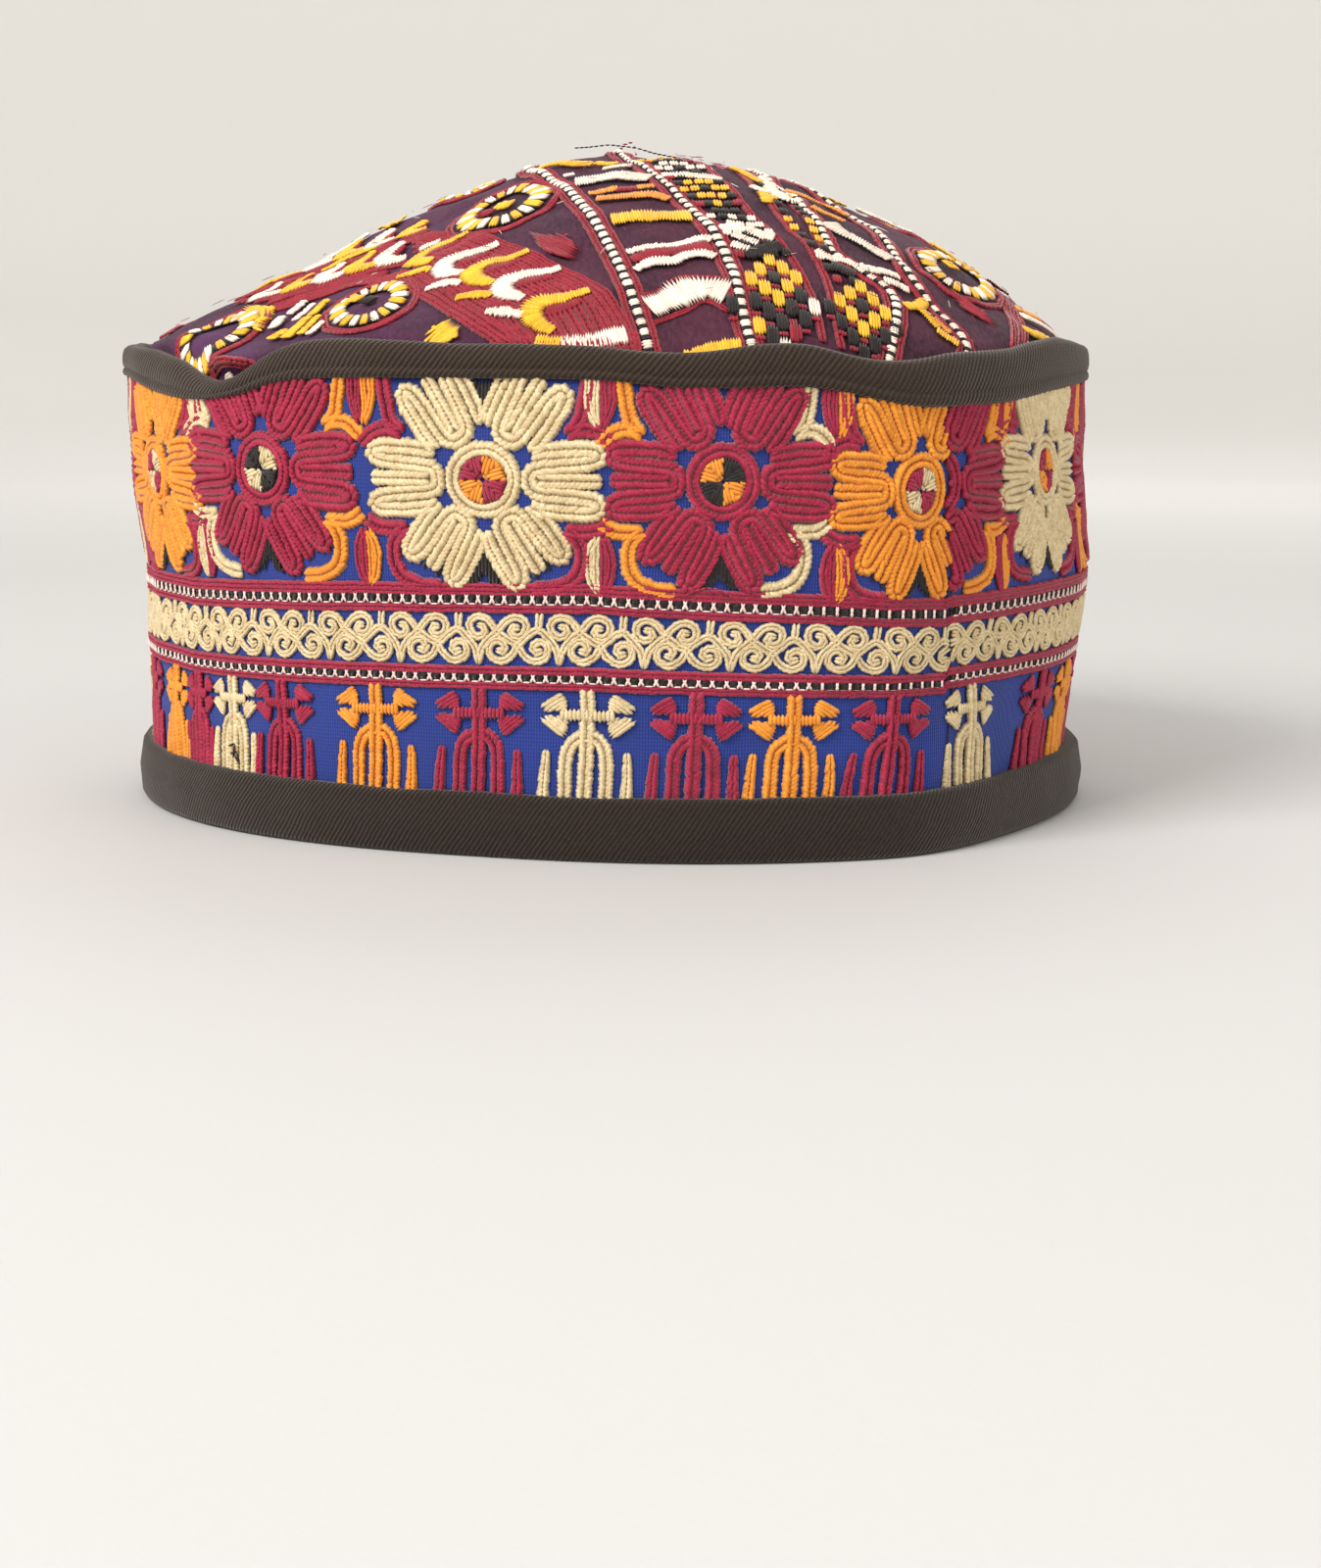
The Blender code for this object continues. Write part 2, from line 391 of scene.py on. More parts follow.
wall_radii = read_wall()
ways = np.stack([np.sin(TURN_ANGLES), -np.cos(TURN_ANGLES), np.zeros(TURNS)], axis=1)
wall_points = ways[:, None, :] * wall_radii[:, :, None]
wall_points[:, :, 2] = wall_heights
wall = Skin(wall_points * MM)
girth_line = wall.points[:, int(wall_row(GIRTH_HEIGHT))]
steps_round = np.linalg.norm(np.roll(girth_line, -1, axis=0) - girth_line, axis=1) * 1000
arc = np.concatenate([[0.0], np.cumsum(steps_round)])
GIRTH = float(arc[-1])
arc -= arc[TURNS // 2]
print("girth of the band at 60 mm:", round(GIRTH, 1))


def wall_turn(along):
    """Fractional turns from the way round in millimetres, 0 at the front and + to the right."""
    wrapped = (along - arc[0]) % GIRTH + arc[0]
    return np.interp(wrapped, arc, np.arange(TURNS + 1))


def on_wall(chart):
    """Points and outward directions from (way round, height) in millimetres."""
    return wall.at(wall_turn(chart[:, 0]), wall_row(chart[:, 1]))


# %% The crown's face
CROWN_EYE = Vector((0.0, 0.0, 0.060))
CROWN_ROWS = 90
BEHIND_PIPING = 3.0
ROW_CROWDING = 1.45  # above 1, the rows lie closer together near the edge


def read_crown():
    """The crown's outer face from its edge to its apex, by rays towards a point inside the cap."""
    tree = tree_of("crown")
    points = np.zeros((TURNS, CROWN_ROWS, 3))
    for i, angle in enumerate(TURN_ANGLES):
        first = math.atan2(piping_low[i] - BEHIND_PIPING - 60.0, 90.0)
        for j, part in enumerate(np.linspace(0.0, 1.0, CROWN_ROWS)):
            rise = first + (math.radians(89.99) - first) * part ** ROW_CROWDING
            way = Vector((math.sin(angle) * math.cos(rise), -math.cos(angle) * math.cos(rise), math.sin(rise)))
            hit = tree.ray_cast(CROWN_EYE + 0.3 * way, -way)[0]
            near = hit is not None and hit.dot(way) > 0
            points[i, j] = hit if near else points[i, j - 1]
    even = soften(points, 3, 0)
    rounder = soften(even, 4, 1)
    share = np.clip((np.arange(CROWN_ROWS) - 14) / 10.0, 0, 1)[None, :, None]
    mixed = even * (1 - share) + rounder * share
    mixed[:, -1] = mixed[:, -1].mean(axis=0)
    return mixed


crown_skin = Skin(read_crown())
crown_skin.out[:, -1] = (0, 0, 1)
crown_radii = np.linalg.norm(crown_skin.points[:, :, :2], axis=2) * 1000
print("crown's lip, mm:", round(crown_radii.max(axis=1).min(), 1), "to", round(crown_radii.max(), 1))

# %% [markdown]
# ## Puckers
# Embroidery pulls its ground cloth together, so a worn cap is never smooth: it swells and
# sinks by half a millimetre between the motifs. The puckers are moved into the surface grids
# themselves, so that ground and stitches stay together.

# %% Puckers in both faces
def pucker(skin, amount, span, seed):
    """A skin swollen and sunk along its outward directions."""
    shifted = skin.points / (MM * span) + seed
    flat = shifted.reshape(-1, 3)
    depth = np.array([blender_noise.noise(Vector(p)) for p in flat]).reshape(skin.points.shape[:2])
    return Skin(skin.points + skin.out * (MM * amount * depth)[:, :, None])


# the edge behind the piping stays smooth
puckered = np.clip((np.arange(CROWN_ROWS) - 12) / 12.0, 0, 1)[None, :, None]
smooth_crown = crown_skin
crown_skin = pucker(pucker(crown_skin, 1.1, 13.0, 3.0), 0.5, 5.0, 40.0)
crown_skin = Skin(smooth_crown.points * (1 - puckered) + crown_skin.points * puckered)
crown_skin.points[:, -1] = crown_skin.points[:, -1].mean(axis=0)
crown_skin.out[:, -1] = (0, 0, 1)
wall = pucker(wall, 0.5, 9.0, 7.0)
print("crown's top after puckers, mm:", round(1000 * crown_skin.points[:, :, 2].max(), 1))

# %% [markdown]
# ## Cloth pieces
# The band, the crown, the piping and the tape are each one closed wall of cloth. A wall is a
# section that changes as it goes round the cap, so all four are lofted by one function. It
# also writes a UV map in millimetres, which the weaves follow round every bend.

# %% Loft
COLUMNS = 360
column_turns = np.arange(COLUMNS) * (TURNS / COLUMNS)
column_numbers = column_turns.astype(int)
column_arc = np.interp(column_turns, np.arange(TURNS + 1), arc)


def loft(name, sections, material, apex=False):
    """A closed wall through sections (columns, places, 3). With an apex, its first and last
    places each meet in one point."""
    columns, places = sections.shape[:2]
    mesh = bpy.data.meshes.new(name)
    shape = bmesh.new()
    cloth = shape.loops.layers.uv.new("cloth")
    lengths = np.linalg.norm(np.diff(sections, axis=1), axis=2).mean(axis=0) * 1000
    heights = np.concatenate([[0.0], np.cumsum(lengths)])
    grid = []
    ends = (0, places - 1) if apex else ()
    for column in sections:
        grid.append([None if k in ends else shape.verts.new(p) for k, p in enumerate(column)])
    tips = {k: shape.verts.new(sections[:, k].mean(axis=0)) for k in ends}
    closing = places - 1 if apex else places
    for i in range(columns):
        j = (i + 1) % columns
        for k in range(closing):
            m = (k + 1) % places
            corners = [(i, k), (j, k), (j, m), (i, m)]
            if k in tips:
                corners = [(i, k), (j, m), (i, m)]
            elif m in tips:
                corners = [(i, k), (j, k), (i, m)]
            face = shape.faces.new([tips[b] if b in tips else grid[a][b] for a, b in corners])
            face.smooth = True
            for loop, (a, b) in zip(face.loops, corners):
                turn = column_arc[a] + (GIRTH if a == 0 and i == columns - 1 else 0.0)
                tall = heights[b] + (2.0 if k == places - 1 and b == 0 else 0.0)
                loop[cloth].uv = (turn, tall)
    shape.to_mesh(mesh)
    shape.free()
    mesh.materials.append(material)
    made = bpy.data.objects.new(name, mesh)
    bpy.context.collection.objects.link(made)
    print(name, "faces:", len(mesh.polygons))
    return made


def columns_at(skin, rows):
    """Points of a skin at each column, for rows given as one list or as one row per column."""
    rows = np.broadcast_to(rows, (COLUMNS, np.shape(rows)[-1]))
    turns = np.repeat(column_turns, rows.shape[1])
    points, out = skin.at(turns, rows.reshape(-1))
    return points.reshape(COLUMNS, -1, 3), out.reshape(COLUMNS, -1, 3)


# %% [markdown]
# ## Weaves
# The blue ground is a plain weave, the crown is a soft wool with a nap that lies down the
# panels, and both black strips are twill, whose ribs run slanting. They are drawn from waves
# on the UV map, with noise in Object coordinates for wear, so the ribs stay true to size.

# %% Cloth materials
def over_cloth(board):
    """Millimetres round and up the cloth, and Object coordinates."""
    chart = board.add("ShaderNodeUVMap", {"uv_map": "cloth"})["UV"]
    parts = board.add("ShaderNodeSeparateXYZ", {}, {"Vector": chart})
    return parts["X"], parts["Y"], board.add("ShaderNodeTexCoord")["Object"]


def plain_weave(name, dark, light, faded, pitch):
    board, shader, made = start_material(name, 0.9, 0.15, (0.75, 0.8, 1.0, 1.0))
    along, up, where = over_cloth(board)
    drift = board.noise(where, 260.0) * 0.5
    warp = (along / pitch + drift).wave()
    weft = (up / pitch * 0.8 + drift).wave()
    thread = warp * 0.7 + weft * 0.3
    wear = board.noise(where, 70.0, 4.0, 0.6).bend(0.42, 0.68)
    woven = board.mix((thread + 0.15).clip(), dark, light)
    colour = board.mix(wear * 0.55, woven, faded)
    dress(board, shader, colour, thread, 0.00018, 0.8)
    return made


def twill(name, dark, light, worn, pitch, lean):
    board, shader, made = start_material(name, 0.88, 0.25, (0.9, 0.85, 0.8, 1.0))
    along, up, where = over_cloth(board)
    drift = board.noise(where, 180.0) * 0.7
    ribs = ((along * math.cos(lean) + up * math.sin(lean)) / pitch + drift).wave()
    yarns = ((along * math.sin(lean) - up * math.cos(lean)) / (0.7 * pitch) + drift * 1.3).wave()
    relief = ribs * (0.65 + yarns * 0.35)
    fuzz = board.noise(where, 2600.0, 3.0, 0.7)
    patches = board.noise(where, 45.0, 3.0, 0.6)
    woven = board.mix((relief * 0.85 + (fuzz - 0.5) * 0.9).clip(), dark, light)
    colour = board.mix(patches.bend(0.45, 0.75) * 0.6, woven, worn)
    dress(board, shader, colour, relief + fuzz * 0.35, 0.00022, 0.9)
    return made


def wool(name, dark, light, bright, violet):
    """Napped wool, tinted violet towards the left side, where the key lamp lights it: painted sheen."""
    board, shader, made = start_material(name, 0.95, 0.05, (0.9, 0.75, 0.85, 1.0))
    along, up, where = over_cloth(board)
    nap = board.noise(board.stretch(where, (1600.0, 420.0, 900.0), (0.0, 0.0, 0.27)), 1.0, 3.0, 0.65)
    patches = board.noise(where, 38.0, 3.0, 0.55)
    fibres = board.noise(where, 3200.0, 2.0, 0.6)
    across = board.add("ShaderNodeSeparateXYZ", {}, {"Vector": where})["X"]
    # painted sheen: the colour turns violet towards the left, by the X coordinate, on the side the key lamp
    # lights
    faded = board.mix((across + (patches - 0.5) * 0.12).bend(-0.075, 0.02), violet, light)
    worn = board.mix(patches.bend(0.36, 0.66), dark, faded)
    colour = board.mix(nap.bend(0.3, 0.8) * 0.55, worn, bright)
    dress(board, shader, colour, nap + fibres * 0.3, 0.00030, 0.9)
    return made


TWILL_LEAN = math.radians(-35)
band_weave = plain_weave("blue_plain_weave", "#1a2258", "#2e4294", "#2a3878", 0.5)
crown_wool = wool("purple_wool", "#24101a", "#441e2c", "#5e3347", "#4c2a52")
piping_twill = twill("black_piping_twill", "#1c140e", "#47362a", "#30241b", 0.85, TWILL_LEAN)
hem_twill = twill("black_hem_twill", "#150e0a", "#392b22", "#271c15", 0.75, TWILL_LEAN)

# %% Band and crown
# how far the ground cloth lies below the thread's foot, and the thickness of each wall
BAND_DROP, CROWN_DROP = 0.25, 0.15
BAND_THICK, CROWN_THICK = 2.2, 1.8
low_columns = piping_low[column_numbers]


def band_cloth():
    """The blue wall, from inside the tape to just under the piping."""
    shares = np.linspace(0, 1, 34)
    tops = wall_row(low_columns + 0.2)
    points, out = columns_at(wall, shares[None, :] * tops[:, None])
    outer = points - out * MM * BAND_DROP
    inner = (points - out * MM * BAND_THICK)[:, ::-5]
    return loft("band_cloth", np.concatenate([outer, inner], axis=1), band_weave)


def crown_cloth():
    """The purple dome, with its edge turned down behind the piping."""
    rows = np.concatenate([np.arange(0, 20, 1.5), np.arange(20, CROWN_ROWS - 1, 2), [CROWN_ROWS - 1]])
    points, out = columns_at(crown_skin, rows)
    outer = points - out * MM * CROWN_DROP
    outer[:, -1] = crown_skin.points[0, -1]
    plain_rows = np.array([CROWN_ROWS - 1, 70, 50, 36, 26, 20, 16, 12, 8, 0])
    points, out = columns_at(smooth_crown, plain_rows)
    inner = points - out * MM * CROWN_THICK
    inner[:, 0] = points[0, 0] - np.array([0, 0, MM * CROWN_THICK])
    return loft("crown_cloth", np.concatenate([inner, outer], axis=1), crown_wool, apex=True)


band_cloth()
crown_cloth()


# %% Piping and tape
PIPING_THICK = 3.6
PRESSED_DEPTH, PRESSED_AT, PRESSED_SPAN = 3.6, -58.0, 6.0  # mm, degrees, degrees
TAPE_RISE = 2.0
column_angles = TURN_ANGLES[column_numbers]


def strip_wave(reach, seed, high):
    """A small closed wave round the cap, in millimetres."""
    draw = np.random.default_rng(seed)
    total = sum(draw.normal() / n ** 0.6 * np.cos(n * column_angles + draw.uniform(0, 6.28))
                for n in range(5, high))
    return reach * total / np.abs(total).max()


def around(radius, height):
    """A ring of points from a radius and a height at each column."""
    return ways[column_numbers] * radius[:, None] + np.array([0, 0, 1.0]) * height[:, None]


def top_piping():
    """A folded strip on end, with a soft rolled top and a groove where it is sewn down. It is
    pressed down a little where the crown slumps over it."""
    rim = wall_radii[column_numbers, int(wall_row(76))]
    low = low_columns - 0.1
    pressed = PRESSED_DEPTH * np.exp(-0.5 * ((np.degrees(column_angles) - PRESSED_AT) / PRESSED_SPAN) ** 2)
    tall = piping_high[column_numbers] - pressed - low
    # outward place as a share of the thickness, height as a share of the strip
    outline = ((0.0, 0.0), (0.78, 0.0), (0.97, 0.05), (1.03, 0.14), (0.99, 0.24), (0.93, 0.28), (0.98, 0.33),
               (1.02, 0.45), (1.02, 0.60), (0.99, 0.75), (0.92, 0.88), (0.78, 0.96), (0.55, 1.0), (0.3, 0.98),
               (0.1, 0.90), (0.0, 0.75), (0.0, 0.4))
    thick = PIPING_THICK + strip_wave(0.35, 5, 40)
    wavy_top = strip_wave(0.25, 9, 60)
    rings = [around(rim - 2.4 + thick * out, low + tall * up + (wavy_top if up > 0.9 else 0.0))
             for out, up in outline]
    return loft("piping_cloth", np.stack(rings, axis=1) * MM, piping_twill)


def hem_tape():
    """The bias tape folded over the lower edge."""
    tree = tree_of("hem_binding")
    heights = (0.5, 1.2, 2.5, 4.0, 5.5, 7.0, 8.5, 9.6, 10.3)
    radii = np.zeros((COLUMNS, len(heights)))
    for i, turn in enumerate(column_numbers):
        for j, height in enumerate(heights):
            radii[i, j] = 1000 * outer_hit(tree, Vector(ways[turn]), height).xy.length
    radii = soften(radii, 2, 0)
    radii[:, 3:] += strip_wave(0.25, 21, 50)[:, None]
    rim = wall_radii[column_numbers, int(wall_row(11))]
    top = hem_high + strip_wave(0.2, 33, 70)
    flat = np.zeros(COLUMNS)
    section = [(radii[:, 0] - 0.9, flat)]
    section += [(radii[:, j], flat + h) for j, h in enumerate(heights)]
    section += [(radii[:, -1] - 0.5, top), (rim + 0.1, top), (rim - 0.4, top - 0.5),
                (rim - 0.4, flat + TAPE_RISE)]
    # the fold inside the band: inwards of the rim, and up
    inside = ((2.2, TAPE_RISE), (2.2, 9.4), (3.6, 9.4), (4.2, 8.8), (4.2, 1.0), (3.4, 0.0))
    section += [(rim - inwards, flat + up) for inwards, up in inside]
    return loft("hem_tape", np.stack([around(*place) for place in section], axis=1) * MM, hem_twill)


top_piping()
hem_tape()

# %% [markdown]
# ## Stitches
# Everything that shows on this cap is thread. A chain stitch is a row of loops, each of which
# rises through the one before: seen from above it is a plait with two slanting legs. A satin
# stitch is one straight thread that lies beside the next. Both are drawn on the charts as
# short lines with a width, and a Geometry Nodes tree sets one small thread shape on each.
# That keeps nearly forty thousand stitches light, and any motif can be redrawn by moving its points.

# %% Drawing with thread
LINK = 0.78
spools = {}


def rounded(path, rounds=2):
    """A path with its corners cut twice, so that a row bends as thread does."""
    path = np.array(path, dtype=float)
    for _ in range(rounds):
        if len(path) < 3:
            break
        start, end = path[:-1], path[1:]
        cut = np.stack([start * 0.75 + end * 0.25, start * 0.25 + end * 0.75], axis=1).reshape(-1, 2)
        path = np.concatenate([path[:1], cut[1:-1], path[-1:]])
    return path


def even_steps(path, step):
    """Points along a path about one step apart."""
    lengths = np.concatenate([[0.0], np.cumsum(np.linalg.norm(np.diff(path, axis=0), axis=1))])
    count = max(1, int(round(lengths[-1] / step)))
    places = np.linspace(0, lengths[-1], count + 1)
    return np.stack([np.interp(places, lengths, path[:, k]) for k in (0, 1)], axis=1)


def spread(values, count):
    """Values spread evenly over a row."""
    return np.interp(np.linspace(0, 1, count), np.linspace(0, 1, len(values)), values)


def directions(spots):
    """Unit directions along a row of spots and across it."""
    along = np.gradient(spots, axis=0)
    along /= np.linalg.norm(along, axis=1, keepdims=True)
    return along, np.stack([-along[:, 1], along[:, 0]], axis=1)


def stitches(starts, ends, width, height, lift):
    """Rows of start, end, width, height, lift and a shade drawn by chance."""
    columns = [np.broadcast_to(np.asarray(v, float), len(starts)) for v in (width, height, lift)]
    return np.column_stack([starts, ends, *columns, chance.uniform(0, 1, len(starts))])


def chain(path, width=2.0, step=LINK, taper=None, smooth=True):
    """A row of chain stitch along a path. A taper gives the widths at its two ends."""
    points = even_steps(rounded(path) if smooth else np.array(path, float), step)
    starts, ends = points[:-1], points[1:]
    wobble = chance.normal(0, 0.04, starts.shape)
    widths = np.linspace(*taper, len(starts)) if taper else np.full(len(starts), width)
    widths = 1.2 * widths * chance.normal(1.0, 0.04, len(starts))
    return stitches(starts + wobble, ends + wobble, widths, 0.32 * widths + 0.2, 0.16)


def satin(corners, lean, step=0.55, width=0.72, lift=0.28, ragged=0.12):
    """Threads side by side across a shape, leaning by an angle in degrees."""
    corners = np.array(corners, dtype=float)
    turn = math.radians(lean)
    way = np.array([math.cos(turn), math.sin(turn)])
    across = np.array([-math.sin(turn), math.cos(turn)])
    places = np.stack([corners @ way, corners @ across], axis=1)
    following = np.roll(places, -1, axis=0)
    starts, ends = [], []
    for level in np.arange(places[:, 1].min() + step / 2, places[:, 1].max(), step):
        crossing = (places[:, 1] > level) != (following[:, 1] > level)
        a, b = places[crossing], following[crossing]
        spots = np.sort(a[:, 0] + (level - a[:, 1]) / (b[:, 1] - a[:, 1]) * (b[:, 0] - a[:, 0]))
        for low, high in zip(spots[::2], spots[1::2]):
            if high - low > 0.3:
                low, high = low + chance.normal(0, ragged), high + chance.normal(0, ragged)
                starts.append(way * low + across * level)
                ends.append(way * high + across * level)
    if not starts:
        return np.zeros((0, 8))
    return stitches(np.array(starts), np.array(ends), width, 0.75 * width, lift)


def turning(angle):
    """A matrix that turns places by an angle in degrees."""
    turn = math.radians(angle)
    return np.array([[math.cos(turn), math.sin(turn)], [-math.sin(turn), math.cos(turn)]])


def turned(rows, angle=0.0, flip=False, stretch=(1.0, 1.0), move=(0.0, 0.0)):
    """Stitches turned in degrees, mirrored left to right, stretched and moved."""
    made = rows.copy()
    for k in (0, 2):
        place = rows[:, k:k + 2] @ turning(angle) * (-1 if flip else 1, 1) * stretch
        made[:, k:k + 2] = place + move
    return made


def wind(spool, *rows):
    """Keeps stitches for the piece that will be sewn with that thread."""
    spools.setdefault(spool, []).extend(r for r in rows if len(r))


# %% [markdown]
# ## The stitch tree
# The tree takes a cloud of points. Each point knows which way its stitch lies, which way is
# out of the cloth, and how long, wide and thick it is. Two aligned rotations set the thread
# shape upright on the cloth and along its row, and the instances are then made real.

# %% Geometry Nodes trees
def new_tree(name):
    tree = bpy.data.node_groups.new(name, "GeometryNodeTree")
    given = {"Geometry": "Geometry", "Thread": "Material", "Leg lean": "Float", "Leg width": "Float"}
    for title, kind in given.items():
        tree.interface.new_socket(title, in_out="INPUT", socket_type="NodeSocket" + kind)
    tree.interface.new_socket("Geometry", in_out="OUTPUT", socket_type="NodeSocketGeometry")
    return tree, Board(tree)


def leg(board, whole, side, lean, width, reach):
    """One spindle of thread, lying along X, set to one side and turned inwards."""
    spin = board.add("ShaderNodeCombineXYZ", {}, {"Z": lean * (-side)})["Vector"]
    shift = board.add("ShaderNodeCombineXYZ", {}, {"Y": (0.5 - width * 0.5) * side})["Vector"]
    size = board.add("ShaderNodeCombineXYZ", {}, {"X": reach, "Y": width, "Z": 1.0})["Vector"]
    inputs = {"Geometry": whole, "Translation": shift, "Rotation": spin, "Scale": size}
    return board.add("GeometryNodeTransform", {}, inputs)["Geometry"]


def stitch_tree(name, sides, rings, legs, reach):
    """A tree that sets one stitch of one or two legs on each point."""
    tree, board = new_tree(name)
    given = board.add("NodeGroupInput")
    ball = board.add("GeometryNodeMeshUVSphere", {}, {"Segments": sides, "Rings": rings, "Radius": 0.5})["Mesh"]
    on_side = {"Geometry": ball, "Rotation": (0.0, math.radians(-90), 0.0)}
    lying = board.add("GeometryNodeTransform", {}, on_side)["Geometry"]
    if legs == 2:
        pair = board.add("GeometryNodeJoinGeometry")
        for side in (1.0, -1.0):
            one = leg(board, lying, side, given["Leg lean"], given["Leg width"], reach)
            tree.links.new(one.socket, pair.node.inputs["Geometry"])
        shape = pair["Geometry"]
    else:
        size = board.add("ShaderNodeCombineXYZ", {}, {"X": reach, "Y": given["Leg width"], "Z": 1.0})["Vector"]
        shape = board.add("GeometryNodeTransform", {}, {"Geometry": lying, "Scale": size})["Geometry"]
    soft = board.add("GeometryNodeSetShadeSmooth", {}, {"Geometry": shape, "Shade Smooth": True})["Geometry"]

    def named(kind, attribute):
        found = board.add("GeometryNodeInputNamedAttribute", {"data_type": kind}, {"Name": attribute})
        return found["Attribute"]

    align = "FunctionNodeAlignRotationToVector"
    upright = board.add(align, {"axis": "Z"}, {"Vector": named("FLOAT_VECTOR", "out")})["Rotation"]
    inputs = {"Rotation": upright, "Vector": named("FLOAT_VECTOR", "lie")}
    aligned = board.add(align, {"axis": "X", "pivot_axis": "Z"}, inputs)["Rotation"]
    inputs = {"Points": given["Geometry"], "Instance": soft, "Rotation": aligned,
              "Scale": named("FLOAT_VECTOR", "size")}
    placed = board.add("GeometryNodeInstanceOnPoints", {}, inputs)["Instances"]
    real = board.add("GeometryNodeRealizeInstances", {}, {"Geometry": placed})["Geometry"]
    dyed = board.add("GeometryNodeSetMaterial", {}, {"Geometry": real, "Material": given["Thread"]})["Geometry"]
    board.add("NodeGroupOutput", {}, {"Geometry": dyed})
    return tree


chain_tree = stitch_tree("chain_stitch", sides=3, rings=3, legs=2, reach=2.5)
satin_tree = stitch_tree("satin_stitch", sides=4, rings=3, legs=1, reach=1.06)
LEG_LEAN, CHAIN_LEG, SATIN_LEG = 0.06, 0.62, 1.0
SHORTEST, LONGEST = 0.00001, 0.03


def sew(name, spool, on_cloth, tree, dyed):
    """Turns a spool's stitches into one plain mesh on the cloth."""
    rows = np.concatenate(spools[spool])
    starts, out_a = on_cloth(rows[:, 0:2])
    ends, out_b = on_cloth(rows[:, 2:4])
    out = out_a + out_b
    out /= np.linalg.norm(out, axis=1, keepdims=True)
    lie = ends - starts
    length = np.linalg.norm(lie, axis=1, keepdims=True)
    keep = (length[:, 0] > SHORTEST) & (length[:, 0] < LONGEST)
    places = (starts + ends) / 2 + out * MM * rows[:, 6:7]
    cloud = bpy.data.meshes.new(name)
    cloud.from_pydata(places[keep].tolist(), [], [])
    sizes = np.hstack([length, MM * rows[:, 4:6]])
    vectors = {"out": out, "lie": lie / np.maximum(length, 1e-9), "size": sizes}
    for title, values in vectors.items():
        cloud.attributes.new(title, "FLOAT_VECTOR", "POINT").data.foreach_set("vector", values[keep].ravel())
    cloud.attributes.new("shade", "FLOAT", "POINT").data.foreach_set("value", rows[keep, 7])
    holder = bpy.data.objects.new(name + "_points", cloud)
    bpy.context.collection.objects.link(holder)
    modifier = holder.modifiers.new("stitches", "NODES")
    modifier.node_group = tree
    sockets = {item.name: item.identifier for item in tree.interface.items_tree if item.in_out == "INPUT"}
    modifier[sockets["Thread"]] = dyed
    modifier[sockets["Leg lean"]] = LEG_LEAN
    modifier[sockets["Leg width"]] = CHAIN_LEG if tree is chain_tree else SATIN_LEG
    ready = holder.evaluated_get(bpy.context.evaluated_depsgraph_get())
    mesh = bpy.data.meshes.new_from_object(ready)
    mesh.name = name
    made = bpy.data.objects.new(name, mesh)
    bpy.context.collection.objects.link(made)
    bpy.data.objects.remove(holder)
    print(f"{name}: {int(keep.sum())} stitches, {len(mesh.loop_triangles)} triangles")
    return made


# %% [markdown]
# ## Thread
# Each thread has its own dye, and the dye has faded where light and hands reached it. Every
# stitch carries a shade between 0 and 1, which moves its colour between a dark and a light
# tone. Noise in Object coordinates adds the fade over larger patches and a fine twist.

# %% Thread material
def thread(name, dark, light, faded, shine=0.62):
    board, shader, made = start_material(name, shine, 0.2, (1.0, 0.95, 0.9, 1.0))
    where = board.add("ShaderNodeTexCoord")["Object"]
    shade = board.add("ShaderNodeAttribute", {"attribute_type": "GEOMETRY", "attribute_name": "shade"})["Fac"]
    patches = board.noise(where, 55.0, 3.0, 0.6).bend(0.35, 0.75)
    twist = board.noise(where, 2400.0, 2.0, 0.6)
    dyed = board.mix((shade * 0.4 + (twist - 0.5) * 1.3 + 0.3).clip(), dark, light)
    colour = board.mix(patches * 0.45, dyed, faded)
    dress(board, shader, colour, twist, 0.00016, 0.7)
    return made


cream_thread = thread("cream_thread", "#b89a68", "#ecdcb4", "#d8c298")
crimson_thread = thread("crimson_thread", "#7a1230", "#b52a4a", "#98203c")
orange_thread = thread("orange_thread", "#cf741c", "#f2a43a", "#e58c28")
blush_thread = thread("blush_thread", "#d8b0a8", "#f8e6dc", "#ecccc4")
black_thread = thread("black_thread", "#120d0c", "#2c2422", "#1c1716")

# %% [markdown]
# ## The flowers of the band
# Each flower has a ring, a disc of four satin quarters, and six petals of the same make: one
# row of chain runs out and back three times, so that each petal ends in two fingers with a
# slit in each and a short finger between them. One petal is drawn and turned six times.

# %% Flower
PETAL = ((8.3, 4.5), (12, 5.1), (17.0, 5.3), (18.9, 4.9), (19.2, 3.9), (17.9, 2.8), (12, 2.3), (8.8, 2.0),
         (7.6, 1.1), (7.6, -1.1), (8.8, -2.1), (12, -2.4), (17.9, -2.9), (19.2, -4.0), (18.9, -5.1),
         (17.0, -5.5), (12, -5.3), (8.3, -4.7))
PETAL_FINGER = ((9.3, -0.05), (18.9, -0.1))
PETAL_TURNS = (0, 60, 120, 180)
LOWER_TURNS = (238, 302)
LOWER_STRETCH = (0.92, 1.0)
RING_RADIUS, RING_WIDTH = 5.15, 2.8
DISC_RADIUS = 4.0


def petal(width=2.95):
    return np.concatenate([chain(PETAL, width), chain(PETAL_FINGER, width)])


def ring():
    angles = np.linspace(0, math.tau, 40)
    circle = np.stack([np.cos(angles), np.sin(angles)], axis=1) * RING_RADIUS
    return chain(circle, RING_WIDTH, 0.8, smooth=False)


def wedge(start, end, count):
    """A slice of the disc between two angles in degrees."""
    angles = np.radians(np.linspace(start, end, count))
    return [(0, 0), *((DISC_RADIUS * math.cos(a), DISC_RADIUS * math.sin(a)) for a in angles)]


